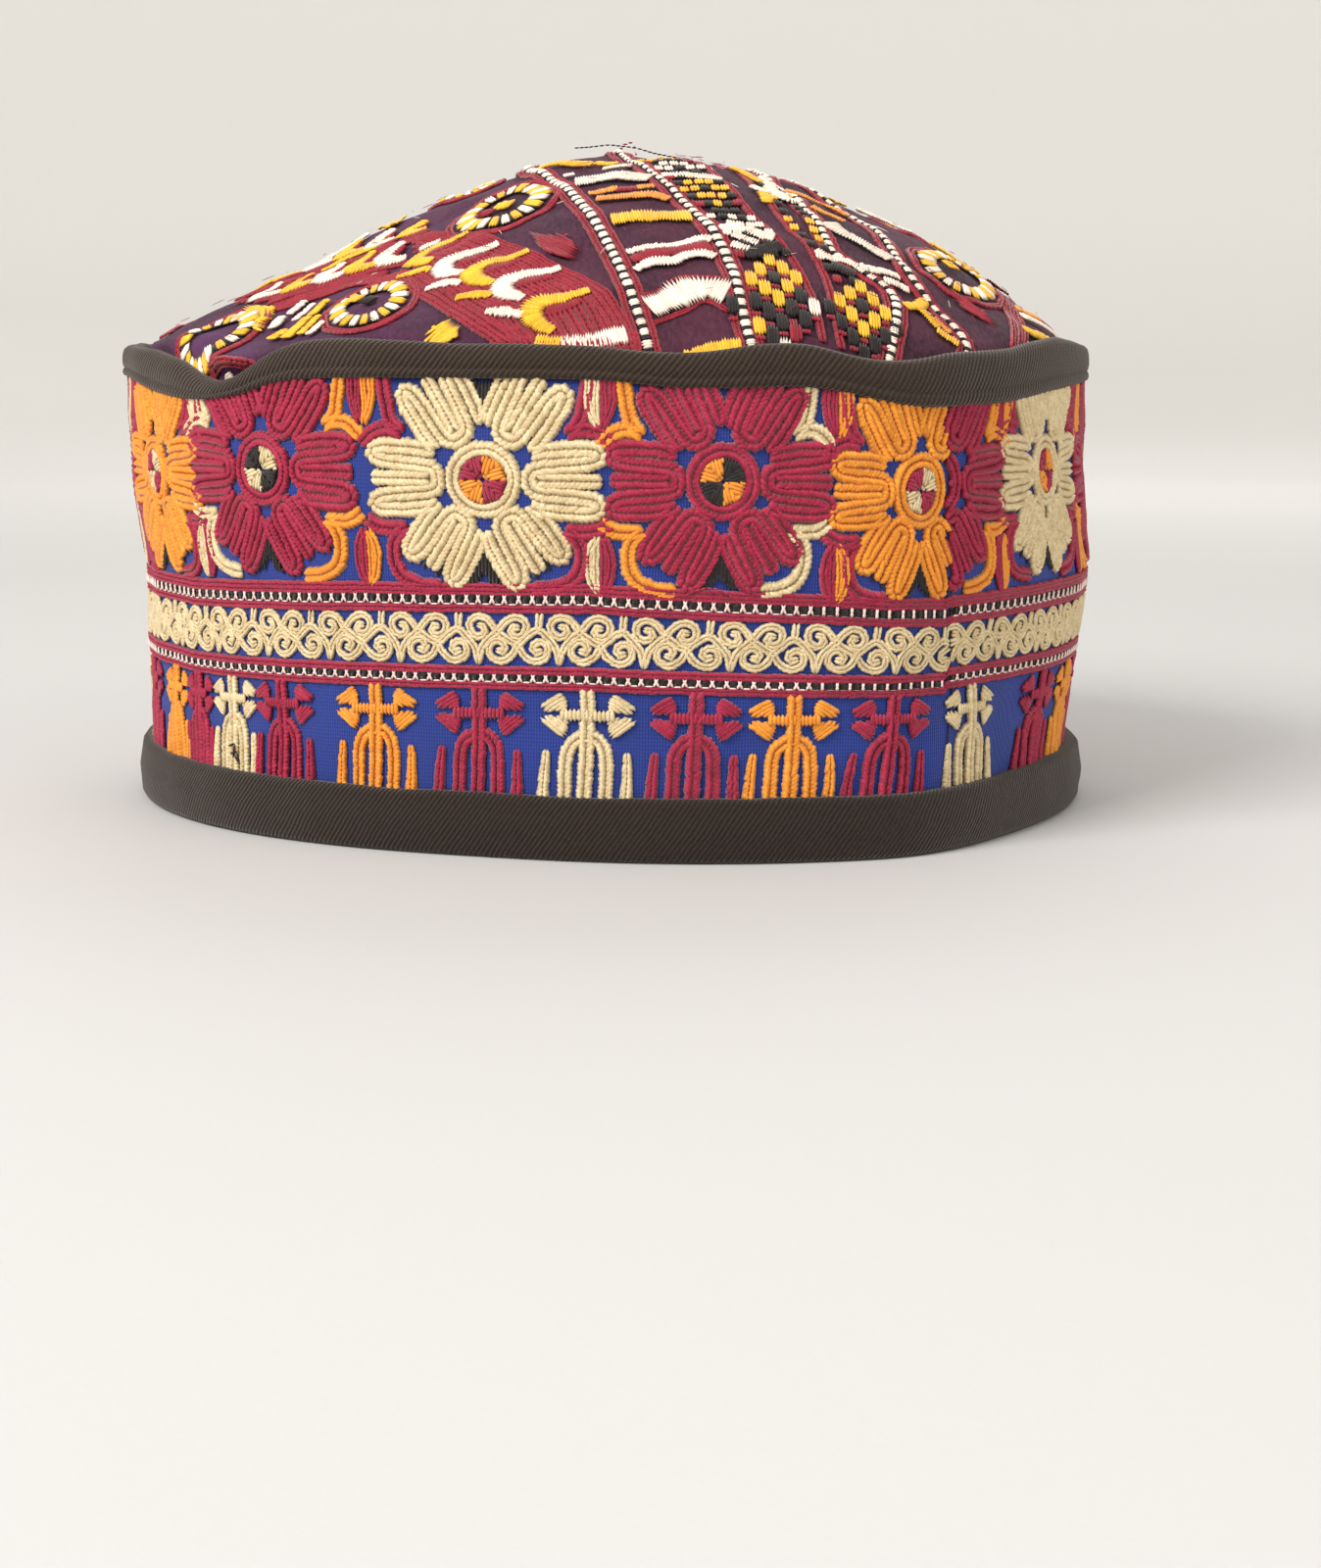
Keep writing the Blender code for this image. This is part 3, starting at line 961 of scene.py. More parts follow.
def disc_quarter(start):
    """A quarter of the disc, filled from both edges so that the threads meet on its middle line."""
    parts = [satin(wedge(start, start + 90, 9), start + 135, 0.6, 0.85, 0.15, 0.05)]
    for half, lean in ((0, 18), (45, 72)):
        parts.append(satin(wedge(start + half, start + half + 45, 5), start + lean, 0.6, 0.85, 0.42, 0.05))
    return np.concatenate(parts)


SLITS = ((8.6, 3.35, 17.6, 3.4), (8.6, -3.4, 17.6, -3.45), (8.8, 1.15, 18.6, 1.25), (8.8, -1.2, 18.6, -1.3))


def slit_shade():
    """Dark threads deep in the slits of a petal."""
    rows = []
    for x0, y0, x1, y1 in SLITS:
        path = np.stack([np.linspace(x0, x1, 4), np.linspace(y0, y1, 4)], axis=1)
        rows.append(stitches(path[:-1], path[1:], 0.95, 0.3, 0.0))
    return np.concatenate(rows)


# the black wedges between the two lower and the two upper petals
BLACK_LOW = ((-0.1, -10.6), (1.4, -14.0), (2.9, -17.9), (1.0, -17.6), (-0.4, -16.0), (-1.8, -17.6),
             (-3.7, -17.9),
             (-1.9, -14.0))
BLACK_HIGH = ((0.1, 10.9), (-1.9, 16.4), (3.4, 16.4))


def flower(name, quarters, place, stretch=1.0, keep=None):
    """A whole flower in one thread. quarters names the threads of its disc, from the upper
    right round to the left. keep says which stitches stay, where a seam cuts the flower."""
    groups = {name: [turned(petal(), angle) for angle in PETAL_TURNS]}
    groups[name] += [turned(turned(petal(), stretch=LOWER_STRETCH), angle) for angle in LOWER_TURNS]
    groups[name].append(ring())
    for start, colour in zip((0, 90, 180, 270), quarters):
        groups.setdefault(colour + "_satin", []).append(disc_quarter(start))
    if name != "crimson":
        groups["black_satin"] = [turned(slit_shade(), angle) for angle in (*PETAL_TURNS, *LOWER_TURNS)]
    groups.setdefault("black_satin", []).append(satin(BLACK_LOW, 90, 0.6, 0.8, 0.12))
    groups["black_satin"].append(satin(BLACK_HIGH, 90, 0.6, 0.8, 0.12))
    for spool, rows in groups.items():
        placed = turned(np.concatenate(rows), stretch=(stretch, 1.0), move=place)
        wind(spool, placed if keep is None else placed[keep(placed)])


# %% Bracket and leaves between two flowers
BRACKET_HIGH = (((16.2, 16.5), (15.5, 12.2), (15.0, 9.4), (13.3, 7.7)),
                ((13.3, 7.7), (15.7, 8.6), (18.2, 7.7), (19.7, 5.9)))
BRACKET_LOW = (((19.4, -7.0), (17.6, -8.3), (15.2, -8.5), (13.0, -8.3)),
               ((13.0, -8.3), (15.1, -10.3), (15.3, -13.4), (14.2, -16.4), (11.2, -17.9), (7.6, -18.2)))
LEAF_LOW = ((0.1, -9.6), (1.25, -11.5), (1.6, -14.2), (1.1, -17.0), (0.1, -18.4))
LEAF_HIGH = ((0.0, 8.9), (1.2, 11.0), (1.7, 13.5), (1.5, 16.5))


def bracket(place, flip, reach=1.0):
    """The four arms that stand beside one side of a flower."""
    rows = np.concatenate([chain(path, 2.9) for path in (*BRACKET_HIGH, *BRACKET_LOW)])
    rows[:, 6] -= 0.12  # the flowers overlap it
    return turned(rows, flip=flip, stretch=(1.06 * reach, 1.0), move=place)


def leaf_half(path, side):
    """Half of a pointed leaf: its outer edge and one row up its middle."""
    edge = np.array(path) * (side, 1)
    low, high = path[0][1], path[-1][1]
    middle = [(0.5 * side, low - 0.3 * side), (0.75 * side, (low + high) / 2), (0.5 * side, high)]
    return np.concatenate([chain(edge + (0.45 * side, 0), 1.6), chain(middle, 1.4)])


def leaves(place, left, right):
    """A pair of half leaves in two threads, above and below."""
    for spool, side in ((left, -1), (right, 1)):
        rows = np.concatenate([leaf_half(LEAF_LOW, side), leaf_half(LEAF_HIGH, side)])
        wind(spool, turned(rows, move=place))


# %% [markdown]
# ## Where the seam runs
# The band is one strip, joined at the front right. Its two ends don't match: a flower is cut
# short on one side, and half of another starts on the other side.

# %% Seam and flower places
SEAM = ((9.0, 61.5), (28.5, 62.6), (45.6, 60.6), (62.0, 59.5), (82.0, 59.0))


def seam_at(height):
    heights, places = zip(*SEAM)
    return np.interp(height, heights, places)


def left_of_seam(rows):
    return (rows[:, 0] < seam_at(rows[:, 1]) - 0.1) & (rows[:, 2] < seam_at(rows[:, 3]) - 0.1)


def right_of_seam(rows):
    return (rows[:, 0] > seam_at(rows[:, 1]) + 0.2) & (rows[:, 2] > seam_at(rows[:, 3]) + 0.2)


# thread, place round the band, height, stretch, the four quarters, and the brackets on its left and right
FLOWERS = [
    ("orange", -100.1, 63.6, 0.90, ("cream", "crimson", "cream", "crimson"), "crimson", "crimson"),
    ("crimson", -64.5, 65.0, 1.0, ("cream", "black", "cream", "black"), "cream", "orange"),
    ("cream", -21.3, 64.0, 1.04, ("orange", "crimson", "orange", "crimson"), "crimson", "crimson"),
    ("crimson", 18.6, 64.0, 0.96, ("black", "orange", "black", "orange"), "orange", "cream"),
    ("orange", 53.8, 62.2, 0.85, ("cream", "crimson", "cream", "crimson"), "crimson", None),
    ("crimson", 57.0, 63.4, 0.98, None, None, "orange"),
    ("cream", 93.2, 64.6, 0.90, ("orange", "crimson", "orange", "crimson"), "crimson", "crimson"),
]
first, last = FLOWERS[0][1], FLOWERS[-1][1]
BACK_PITCH = (GIRTH - last + first) / 10
BACK_ORDER = ("crimson", "orange", "crimson", "cream", "crimson", "orange", "crimson", "cream", "crimson")
for number, name in enumerate(BACK_ORDER, start=1):
    brackets = {"orange": ("crimson", "crimson"), "cream": ("crimson", "crimson"),
                "crimson": ("orange", "cream") if number % 4 == 1 else ("cream", "orange")}[name]
    disc = {"orange": ("cream", "crimson") * 2, "cream": ("orange", "crimson") * 2,
            "crimson": ("black", "orange") * 2 if number % 4 == 1 else ("cream", "black") * 2}[name]
    FLOWERS.append((name, last + BACK_PITCH * number, 64.3, 0.97, disc, *brackets))

# place round the band, height, and the threads of the left and the right half
LEAVES = [(-82.5, 64.2, "cream", "crimson"), (-43.1, 64.6, "crimson", "orange"),
          (-1.6, 64.2, "cream", "crimson"), (38.0, 62.6, "crimson", "orange"),
          (76.1, 63.2, "crimson", "orange")]
for number in range(10):
    pair = ("cream", "crimson") if number % 4 in (1, 2) else ("crimson", "orange")
    LEAVES.append((last + BACK_PITCH * (number + 0.5), 64.0, *pair))

# the brackets on the right of this flower have less room
CROWDED = {(18.6, False): 0.87}
for name, along, height, stretch, quarters, on_left, on_right in FLOWERS:
    # a flower without a bracket on one side is cut off there by the seam
    keep = left_of_seam if on_right is None else right_of_seam if on_left is None else None
    flower(name, quarters or ("crimson",) * 4, (along, height), stretch, keep)
    for colour, flip in ((on_left, True), (on_right, False)):
        if colour:
            wind(colour, bracket((along, height), flip, CROWDED.get((along, flip), stretch)))
for along, height, left, right in LEAVES:
    leaves((along, height), left, right)

# %% [markdown]
# ## Borders, scroll and figures
# Below the flowers come a narrow border, a scroll of linked spirals, a second border, and a
# row of figures that stand on the tape. A border is two rows of red chain with black blocks
# and pale crossed stitches between. Their heights dip a little to either side of the front.

# %% How the rows dip
HALF_ROUND = 289
DIP_PLACES = (-HALF_ROUND, -130, -88, -43, -4, 38, 47, 60.9, 61.1, 87, 130, HALF_ROUND)
DIP_UPPER = (-1.7, -1.9, -2.3, -0.6, 0.0, -1.9, -2.6, -3.2, -2.8, -2.4, -1.8, -1.7)
DIP_LOWER = (-1.0, -1.2, -1.6, -0.5, 0.0, -1.2, -1.6, -1.8, -0.9, -0.8, -1.0, -1.0)


def dipped(rows):
    """Moves stitches of the lower rows down as the sewn rows dip round the band."""
    made = rows.copy()
    for k in (0, 2):
        along, height = (rows[:, k] + HALF_ROUND) % (2 * HALF_ROUND) - HALF_ROUND, rows[:, k + 1]
        upper, lower = np.interp(along, DIP_PLACES, DIP_UPPER), np.interp(along, DIP_PLACES, DIP_LOWER)
        share = np.interp(height, (11, 30.5, 43.5, 46.5, 50), (0, 1, 2, 2, 2))
        dip = np.where(share < 1, share * lower, lower * (2 - share) + upper * (share - 1))
        made[:, k + 1] = height + dip
    return made


START, END = float(seam_at(40)) - GIRTH, float(seam_at(40))
BLOCK_PITCH = 2.35
NEAT_PLACE, NEAT_REACH = 50, 16  # where the crosses are sewn upright


def border(red_heights, low, tall):
    """Red chain rows, and between them a black ground with pale crossed stitches."""
    for height, width in red_heights:
        path = np.stack([np.linspace(START + 0.3, END - 0.15, 500), np.full(500, height)], axis=1)
        wind("border", dipped(chain(path, 1.15 * width, 0.9, smooth=False)))
    places = np.arange(START + 1.2, END - 1.0, BLOCK_PITCH)
    places = places + chance.normal(0, 0.1, len(places))
    middle = low + tall / 2
    for height in (middle - 0.26 * tall, middle + 0.26 * tall):
        ground = np.column_stack([places - 1.5, np.full(len(places), height)])
        wind("black_satin", dipped(stitches(ground, ground + (3.0, 0.0), 0.7 * tall, 0.35, 0.02)))
    block = np.column_stack([places, np.full(len(places), middle - 0.42 * tall)])
    wind("black_satin", dipped(stitches(block, block + (0.0, 0.84 * tall), 1.1, 0.5, 0.2)))
    neat = np.abs(places - NEAT_PLACE) < NEAT_REACH
    between = places + BLOCK_PITCH / 2
    for lean in (-1, 1):
        foot = np.column_stack([between + lean * np.where(neat, 0.16, 0.5), np.full(len(places), low)])
        head = np.column_stack([between - lean * np.where(neat, 0.16, 0.3), np.full(len(places), low + tall)])
        wind("blush", dipped(stitches(foot, head, 0.5, 0.45, 0.45)))
    base = np.column_stack([places - 0.75, np.full(len(places), low + 0.08)])
    wind("blush", dipped(stitches(base, base + (1.5, 0.0), np.where(neat, 0.05, 0.34), 0.3, 0.35)))


border(((46.35, 1.3), (45.6, 1.2), (42.75, 1.3)), 43.45, 1.7)
border(((32.3, 1.3), (29.7, 1.2)), 30.3, 1.45)

# %% Scroll
SCROLL_PERIOD, RIGHT_PERIOD = 14.5, 14.46
SCROLL_MIDDLE = 37.7
LEFT_START, RIGHT_START = -12.1, 72.9
SCROLL = (
    ((0.1, 3.8), (-0.1, 1.7)),
    ((-3.8, -1.1), (-2.1, 0.5), (-0.1, 1.9), (1.7, 0.1), (3.2, -1.6), (3.5, -3.9)),
    ((-3.8, -1.1), (-3.0, -2.7), (-0.9, -4.1), (1.4, -3.2), (1.7, -1.1), (0.0, -0.2), (-1.4, -1.3),
     (-0.7, -2.5),
     (0.2, -2.1)),
    ((-3.8, -1.1), (-4.8, -2.9), (-6.8, -4.1), (-9.0, -3.0), (-9.0, -1.1), (-7.4, 0.0), (-5.9, -1.0),
     (-6.3, -2.4),
     (-7.2, -2.0)),
    ((7.1, 1.1), (5.7, 3.2), (3.8, 4.0), (2.0, 3.0), (2.2, 1.0), (3.8, 0.1), (5.1, 1.0), (4.6, 2.3),
     (3.9, 2.2)),
    ((7.1, 1.1), (8.6, 3.1), (10.4, 3.9), (12.4, 2.9), (12.2, 0.9), (10.6, 0.1), (9.4, 1.0), (10.0, 2.2),
     (10.7, 1.9)),
    ((7.1, 1.1), (5.6, 0.1), (4.2, -1.5), (3.5, -3.9)),
    ((7.1, 1.1), (8.9, -0.1), (10.7, -1.1)),
)


def scroll():
    """One period of the scroll."""
    return np.concatenate([chain(path, 1.4, 0.86) for path in SCROLL])


for tick in LEFT_START + SCROLL_PERIOD * np.arange(-18, 6):
    rows = turned(scroll(), move=(tick, SCROLL_MIDDLE))
    wind("scroll", dipped(rows[left_of_seam(rows)]))
# right of the seam, until the two ends meet at the back
right_ticks = [RIGHT_START + SCROLL_PERIOD * k for k in (-1, 0)]
right_ticks += [RIGHT_START + RIGHT_PERIOD * k for k in range(1, 16)]
for tick in right_ticks:
    rows = turned(scroll(), move=(tick, SCROLL_MIDDLE))
    inside = np.maximum(rows[:, 0], rows[:, 2]) < LEFT_START - SCROLL_PERIOD * 18.5 + GIRTH
    wind("scroll", dipped(rows[right_of_seam(rows) & inside]))

# %% Figures
STEM = ((0.0, 29.0), (0.0, 25.0), (-0.2, 20.0), (-0.7, 10.4))
ARCH_LEFT = ((-0.3, 21.3), (-1.6, 21.0), (-3.1, 19.9), (-3.9, 17.9), (-4.1, 14.0), (-4.25, 10.4))
ARCH_RIGHT = ((0.3, 21.3), (1.5, 21.0), (2.7, 19.9), (3.2, 17.9), (3.2, 14.0), (2.95, 10.4))
BLADE_HIGH = ((-8.3, 25.6), (-8.1, 26.4), (-4.7, 28.5), (-4.0, 28.3), (-3.5, 26.4), (-3.9, 25.6))
BLADE_LOW = ((-8.3, 24.5), (-8.1, 23.8), (-4.5, 21.0), (-3.8, 21.3), (-3.3, 23.5), (-3.9, 24.5))
BLADE_ROWS = (((-7.5, 26.2), (-4.6, 28.0)), ((-6.7, 26.1), (-4.2, 27.3)), ((-5.4, 26.1), (-4.1, 26.6)),
              ((-7.5, 24.0), (-4.5, 21.8)), ((-6.7, 24.1), (-4.1, 22.6)), ((-5.3, 24.0), (-3.9, 23.4)))
ARM = ((-4.6, 23.9), (-4.6, 26.0), (4.6, 26.0), (4.6, 23.9))
SPIKES = (((-8.1, 10.4), (-7.8, 14.5), (-7.3, 18.4)), ((6.6, 10.4), (6.8, 14.5), (6.8, 18.2)))


def figure():
    """A figure with four blades on its arms, two arched legs and a spike on each side:
    its rows of chain, and the satin under its blades and across its arms."""
    rows = [chain(ARCH_LEFT, 2.5), chain(ARCH_RIGHT, 2.5)]
    for path in BLADE_ROWS:
        blade_row = chain(path, 1.5, 0.8)
        rows += [blade_row, turned(blade_row, flip=True)]
    stem = chain(STEM, 2.6)
    stem[:, 6] += 0.22
    rows.append(stem)
    rows += [chain(path, step=0.84, taper=(2.3, 1.5)) for path in SPIKES]
    fill = [satin(ARM, 92, 0.72, 0.95, 0.5, 0.05)]
    for blade, lean in ((BLADE_HIGH, 32), (BLADE_LOW, -38)):
        threads = satin(blade, lean, 0.6, 0.95, 0.2, 0.06)
        fill += [threads, turned(threads, flip=True)]
    return np.concatenate(rows), np.concatenate(fill)


# thread, place round the band, stretch and the lean of its stem
FIGURES = [("orange", -99.3, 0.72, 0.0), ("crimson", -88.8, 0.62, 0.0), ("cream", -76.9, 0.78, 0.0),
           ("crimson", -63.5, 0.88, 0.0), ("orange", -42.9, 0.98, 0.0), ("crimson", -23.1, 1.0, 0.0),
           ("cream", -3.7, 1.0, 0.0), ("crimson", 14.8, 0.95, 0.0), ("orange", 31.5, 0.95, 0.0),
           ("crimson", 49.1, 0.95, 0.06), ("cream", 68.8, 0.9, -0.08), ("crimson", 95.6, 1.05, 0.06),
           ("orange", 114.3, 1.0, 0.0)]
first, last = FIGURES[0][1], FIGURES[-1][1]
FIGURE_PITCH = (GIRTH - last + first) / 20
FIGURE_ORDER = ("orange", "crimson", "cream", "crimson")
FIGURES += [(FIGURE_ORDER[n % 4], last + FIGURE_PITCH * n, 0.98, 0.0) for n in range(1, 20)]
for name, along, stretch, lean in FIGURES:
    for spool, rows in zip((name, name + "_satin"), figure()):
        for k in (0, 2):
            rows[:, k] += lean * (rows[:, k + 1] - 20.0)
        wind(spool, dipped(turned(rows, stretch=(stretch, 1.0), move=(along, 0.0))))

# %% Painted shade along the seam, and small faults
# painted shade: dark stitches along the seam stand for the shadow in its fold
seam_heights = np.arange(10.4, 60.0, 1.1)
seam_feet = np.column_stack([seam_at(seam_heights), seam_heights])
seam_heads = np.column_stack([seam_at(seam_heights + 1.2), seam_heights + 1.2])
wind("black_satin", dipped(stitches(seam_feet, seam_heads, 0.5, 0.4, 0.05)))
DARN = (((-78.2, 15.2), (-76.2, 15.8)), ((-76.2, 15.8), (-76.8, 13.0)), ((-77.8, 13.8), (-75.6, 14.5)),
        ((-76.4, 13.8), (-75.2, 12.4)), ((-75.6, 14.5), (-75.2, 12.4)))
wind("black_satin", stitches(*np.array(DARN).transpose(1, 0, 2), 0.5, 0.5, 0.9))


def loose(path, width, lifts):
    """A thread that has come loose and lies over the others."""
    spots = even_steps(rounded(path), 1.0)
    return stitches(spots[:-1], spots[1:], width, width, spread(lifts, len(spots) - 1))


LOOSE_CRIMSON = ((12.6, 45.2), (14.6, 46.3), (17.0, 46.7), (19.0, 46.0), (20.6, 44.9))
wind("crimson_satin", loose(LOOSE_CRIMSON, 0.42, (0.4, 1.1, 0.5)))
print({spool: sum(len(r) for r in rows) for spool, rows in spools.items()})

# %% Sew the band
UNDER_PIPING, TAPE_EDGE = 0.9, 10.0
sewn = []


def sew_all(table, on_cloth, slot):
    """Sews the spools of a table, which gives each one's piece, tree and thread."""
    for spool, (name, tree, dyed) in table.items():
        sewn.append((sew(name, spool, on_cloth, tree, dyed), slot))


def below_piping(spool):
    """Leaves out stitches that would lie under the piping or the tape."""
    rows = np.concatenate(spools[spool])
    edge = np.interp(wall_turn(rows[:, 0]), np.arange(TURNS + 1), np.append(piping_low, piping_low[0]))
    height = np.maximum(rows[:, 1], rows[:, 3])
    spools[spool] = [rows[(height < edge + UNDER_PIPING) & (height > TAPE_EDGE)]]


BAND_SEWING = {
    "cream": ("cream_chain", chain_tree, cream_thread),
    "crimson": ("crimson_chain", chain_tree, crimson_thread),
    "orange": ("orange_chain", chain_tree, orange_thread),
    "scroll": ("scroll_chain", chain_tree, cream_thread),
    "border": ("border_chain", chain_tree, crimson_thread),
    "blush": ("border_crosses", satin_tree, blush_thread),
    "black_satin": ("black_satin", satin_tree, black_thread),
    "cream_satin": ("cream_discs", satin_tree, cream_thread),
    "crimson_satin": ("crimson_discs", satin_tree, crimson_thread),
    "orange_satin": ("orange_discs", satin_tree, orange_thread),
}
for spool in BAND_SEWING:
    below_piping(spool)
sew_all(BAND_SEWING, on_wall, "band_cloth")

# %% [markdown]
# ## The crown's chart
# The dome was embroidered flat, before it was gathered, so its chart is flat too: a place on
# it is a direction from the middle and a distance along the cloth. The threads are thicker
# and glossier here than on the band, and nearly all of them are satin stitch.

# %% From the chart to the dome
def crown_lengths():
    """The distance along the cloth from the middle to every row, in millimetres."""
    steps = np.linalg.norm(np.diff(smooth_crown.points, axis=1), axis=2) * 1000
    backwards = np.cumsum(steps[:, ::-1], axis=1)[:, ::-1]
    return np.concatenate([backwards, np.zeros((TURNS, 1))], axis=1)


crown_reach = crown_lengths()
CROWN_ROW_NUMBERS = np.arange(CROWN_ROWS)


def on_crown(chart):
    """Points and outward directions from flat chart places in millimetres."""
    turn = (np.degrees(np.arctan2(chart[:, 0], -chart[:, 1])) + 180.0) * 2.0 % TURNS
    reach = np.hypot(chart[:, 0], chart[:, 1])
    nearest = np.round(turn).astype(int) % TURNS
    rows = [np.interp(-r, -crown_reach[k], CROWN_ROW_NUMBERS) for r, k in zip(reach, nearest)]
    return crown_skin.at(turn, np.array(rows))


# %% [markdown]
# ## Bars, bricks, cords and rings
# Four makes fill the crown. A bar is a line of short threads laid across it. A brick is a
# small padded block. A cord is a line of white and black bricks between two rows of red chain.
# A ring is a circle of spokes, white and yellow in turn, with black between them.

# %% Crown makes
BAR_STEP, BAR_RAGGED, BAR_MORE = 0.5, 0.14, 0.42
CORD_EDGE = 1.65
front_rows = {}


def front_wind(spool, rows):
    """Keeps stitches of the front half, which are turned over for the back later."""
    front_rows.setdefault(spool, []).append(rows)


def bar(spool, width, *path, lift=0.62):
    """Short threads across a path. width is one number or one for each point of the path."""
    spots = even_steps(rounded(path), BAR_STEP)
    across = directions(spots)[1]
    half = 0.5 * spread([width, width] if np.ndim(width) == 0 else width, len(spots)) + BAR_MORE
    low = spots - across * (half + chance.normal(0, BAR_RAGGED, len(spots)))[:, None]
    high = spots + across * (half + chance.normal(0, BAR_RAGGED, len(spots)))[:, None]
    front_wind(spool, stitches(low, high, 0.74, 0.8, lift))


def brick(spool, x, y, wide=2.2, tall=2.9, lean=0.0, thick=0.95):
    """A padded block of upright threads."""
    shifts = np.arange(-wide / 2 + 0.3, wide / 2, 0.52)
    round_end = tall * (0.5 - 0.12 * (2 * shifts / wide) ** 2)
    low = np.column_stack([shifts, -round_end])
    high = np.column_stack([shifts, round_end])
    front_wind(spool, turned(stitches(low, high, 0.76, thick, 0.5), lean, move=(x, y)))


def beside(path, shift):
    """A path moved sideways."""
    spots = even_steps(rounded(path), 2.0)
    return spots + directions(spots)[1] * shift


def red_line(*path, width=1.25):
    front_wind("crown_red_line", chain(path, 0.9 * width, 1.05))


def cord(path, pitch=2.7, sizes=(1.0, 1.0)):
    """White and black bricks in turn along a path, with red chain on both sides."""
    spots = even_steps(rounded(path), pitch)
    for (x, y), (ax, ay), scale in zip(spots, directions(spots)[0], spread(sizes, len(spots))):
        lean = math.degrees(math.atan2(ay, ax))
        tall = 2.0 * scale + chance.normal(0, 0.1)
        brick("crown_white", x, y, 1.45, tall, lean, 0.9)
        brick("crown_black", x + ax * pitch / 2, y + ay * pitch / 2, 1.25, 1.85 * scale, lean, 0.55)
    for shift in (-CORD_EDGE, CORD_EDGE):
        red_line(*beside(path, shift), width=1.5)


def ring_of_spokes(centre, across, tall, lean=0.0, count=22, first="crown_white"):
    """Spokes round an open middle, with a red outline."""
    order = ("crown_white", "crown_yellow") if first == "crown_white" else ("crown_yellow", "crown_white")
    for k in range(count):
        angle = math.tau * (k + 0.25) / count
        places = []
        for reach in (0.55, 1.0):
            for side in (-1, 0, 1):
                turn = angle + side * 0.06
                places.append((math.sin(turn) * across * reach, -math.cos(turn) * tall * reach))
        places = np.array(places)
        front_wind(order[k % 2], turned(stitches(places[:3], places[3:], 0.8, 0.9, 0.5), lean, move=centre))
        turn = angle + math.pi / count
        gap = np.array([(math.sin(turn + s) * across * r, -math.cos(turn + s) * tall * r)
                        for r in (0.54, 0.99) for s in (-0.05, 0.05)])
        front_wind("crown_black", turned(stitches(gap[:2], gap[2:], 0.75, 0.5, 0.25), lean, move=centre))
    angles = np.linspace(0, math.tau, 48)
    edge = np.stack([np.sin(angles) * across * 1.16, -np.cos(angles) * tall * 1.16], axis=1)
    front_wind("crown_red_line", turned(chain(edge, 1.7, 1.0, smooth=False), lean, move=centre))


BRICK_THREADS = {"y": "crown_yellow", "k": "crown_black", "w": "crown_white", "r": "crown_red"}


def diamond(top, right_step, left_step, rows, wide=1.9, tall=5.2):
    """Bricks on a slanting lattice. rows names the brick at each place, and a dot leaves one out."""
    for j, row in enumerate(rows):
        for i, letter in enumerate(row):
            if letter == ".":
                continue
            place = np.array(top) + i * np.array(right_step) + j * np.array(left_step)
            brick(BRICK_THREADS[letter], *place, wide, tall, 6.0)
            under = place + (0.06 * tall, -0.58 * tall)
            brick("crown_red", *under, wide - 0.2, 1.2, 6.0, 0.7)


def panel(left_edge, right_edge, rows):
    """Rows of small bricks between two edges, charted from the top down."""
    lefts, rights = (even_steps(rounded(edge), 0.5) for edge in (left_edge, right_edge))
    for share, row in zip(np.linspace(0.0, 1.0, len(rows)), rows):
        start, end = (edge[int(round(share * (len(edge) - 1)))] for edge in (lefts, rights))
        for place, letter in zip(np.linspace(start, end, len(row)), row):
            if letter != ".":
                brick(BRICK_THREADS[letter], *(place + chance.normal(0, 0.1, 2)), 1.6, 2.9, 8.0, 0.85)


# %% [markdown]
# ## The front half
# Two tall panels of bars stand on either side of a plain purple strip, each between two
# cords, with a panel of bricks on its inner side. Rings, leaves and a band of hooks fill the
# sides. Where the crown slumps at the front left, a ring hangs over the piping.

# %% Cords and bars
CORD_A = ((-16.5, 0), (-15.5, -12), (-10.6, -28.4), (-4.6, -49.2), (0.5, -68.2), (7.4, -99))
CORD_B = ((1.0, 0), (2.6, -13), (5.7, -25), (12.3, -44), (18.7, -61.8), (22.0, -74.3), (23.8, -86.7),
          (26.0, -98))
CORD_C = ((26.5, 0), (28.5, -14), (31.5, -27), (36.5, -43), (39.8, -56), (41.2, -62.8), (47.6, -66.2),
          (52.3, -69.2),
          (52.8, -76), (52.5, -82), (51.5, -92))
CORD_D = ((33.5, 0), (36.0, -15), (45.7, -25.6), (50.4, -35.4), (53.2, -46.6), (55.4, -57.4), (58.6, -63.5),
          (65.8, -70.2), (68.0, -77), (67.0, -80))
STRIP_LEFT = ((14.5, 0), (17.0, -22), (22.9, -41.4), (26.8, -54), (30.8, -62), (34.4, -70), (36.6, -77.3),
              (38.8, -91))
STRIP_RIGHT = ((20.5, 0), (22.5, -17), (27.0, -32), (30.8, -48.9), (35.8, -61), (39.5, -70), (40.8, -82),
               (42.5, -91))

cord(CORD_A)
cord(CORD_B, 2.6, (0.55, 0.6, 0.75, 1.0, 1.05, 1.0))
cord(CORD_C, 2.5, (0.7, 0.75, 0.8, 1.0, 1.0))
cord(CORD_D, 2.7, (0.7, 0.75, 0.85, 1.0))
for path in (STRIP_LEFT, STRIP_RIGHT):
    red_line(*path, width=1.7)

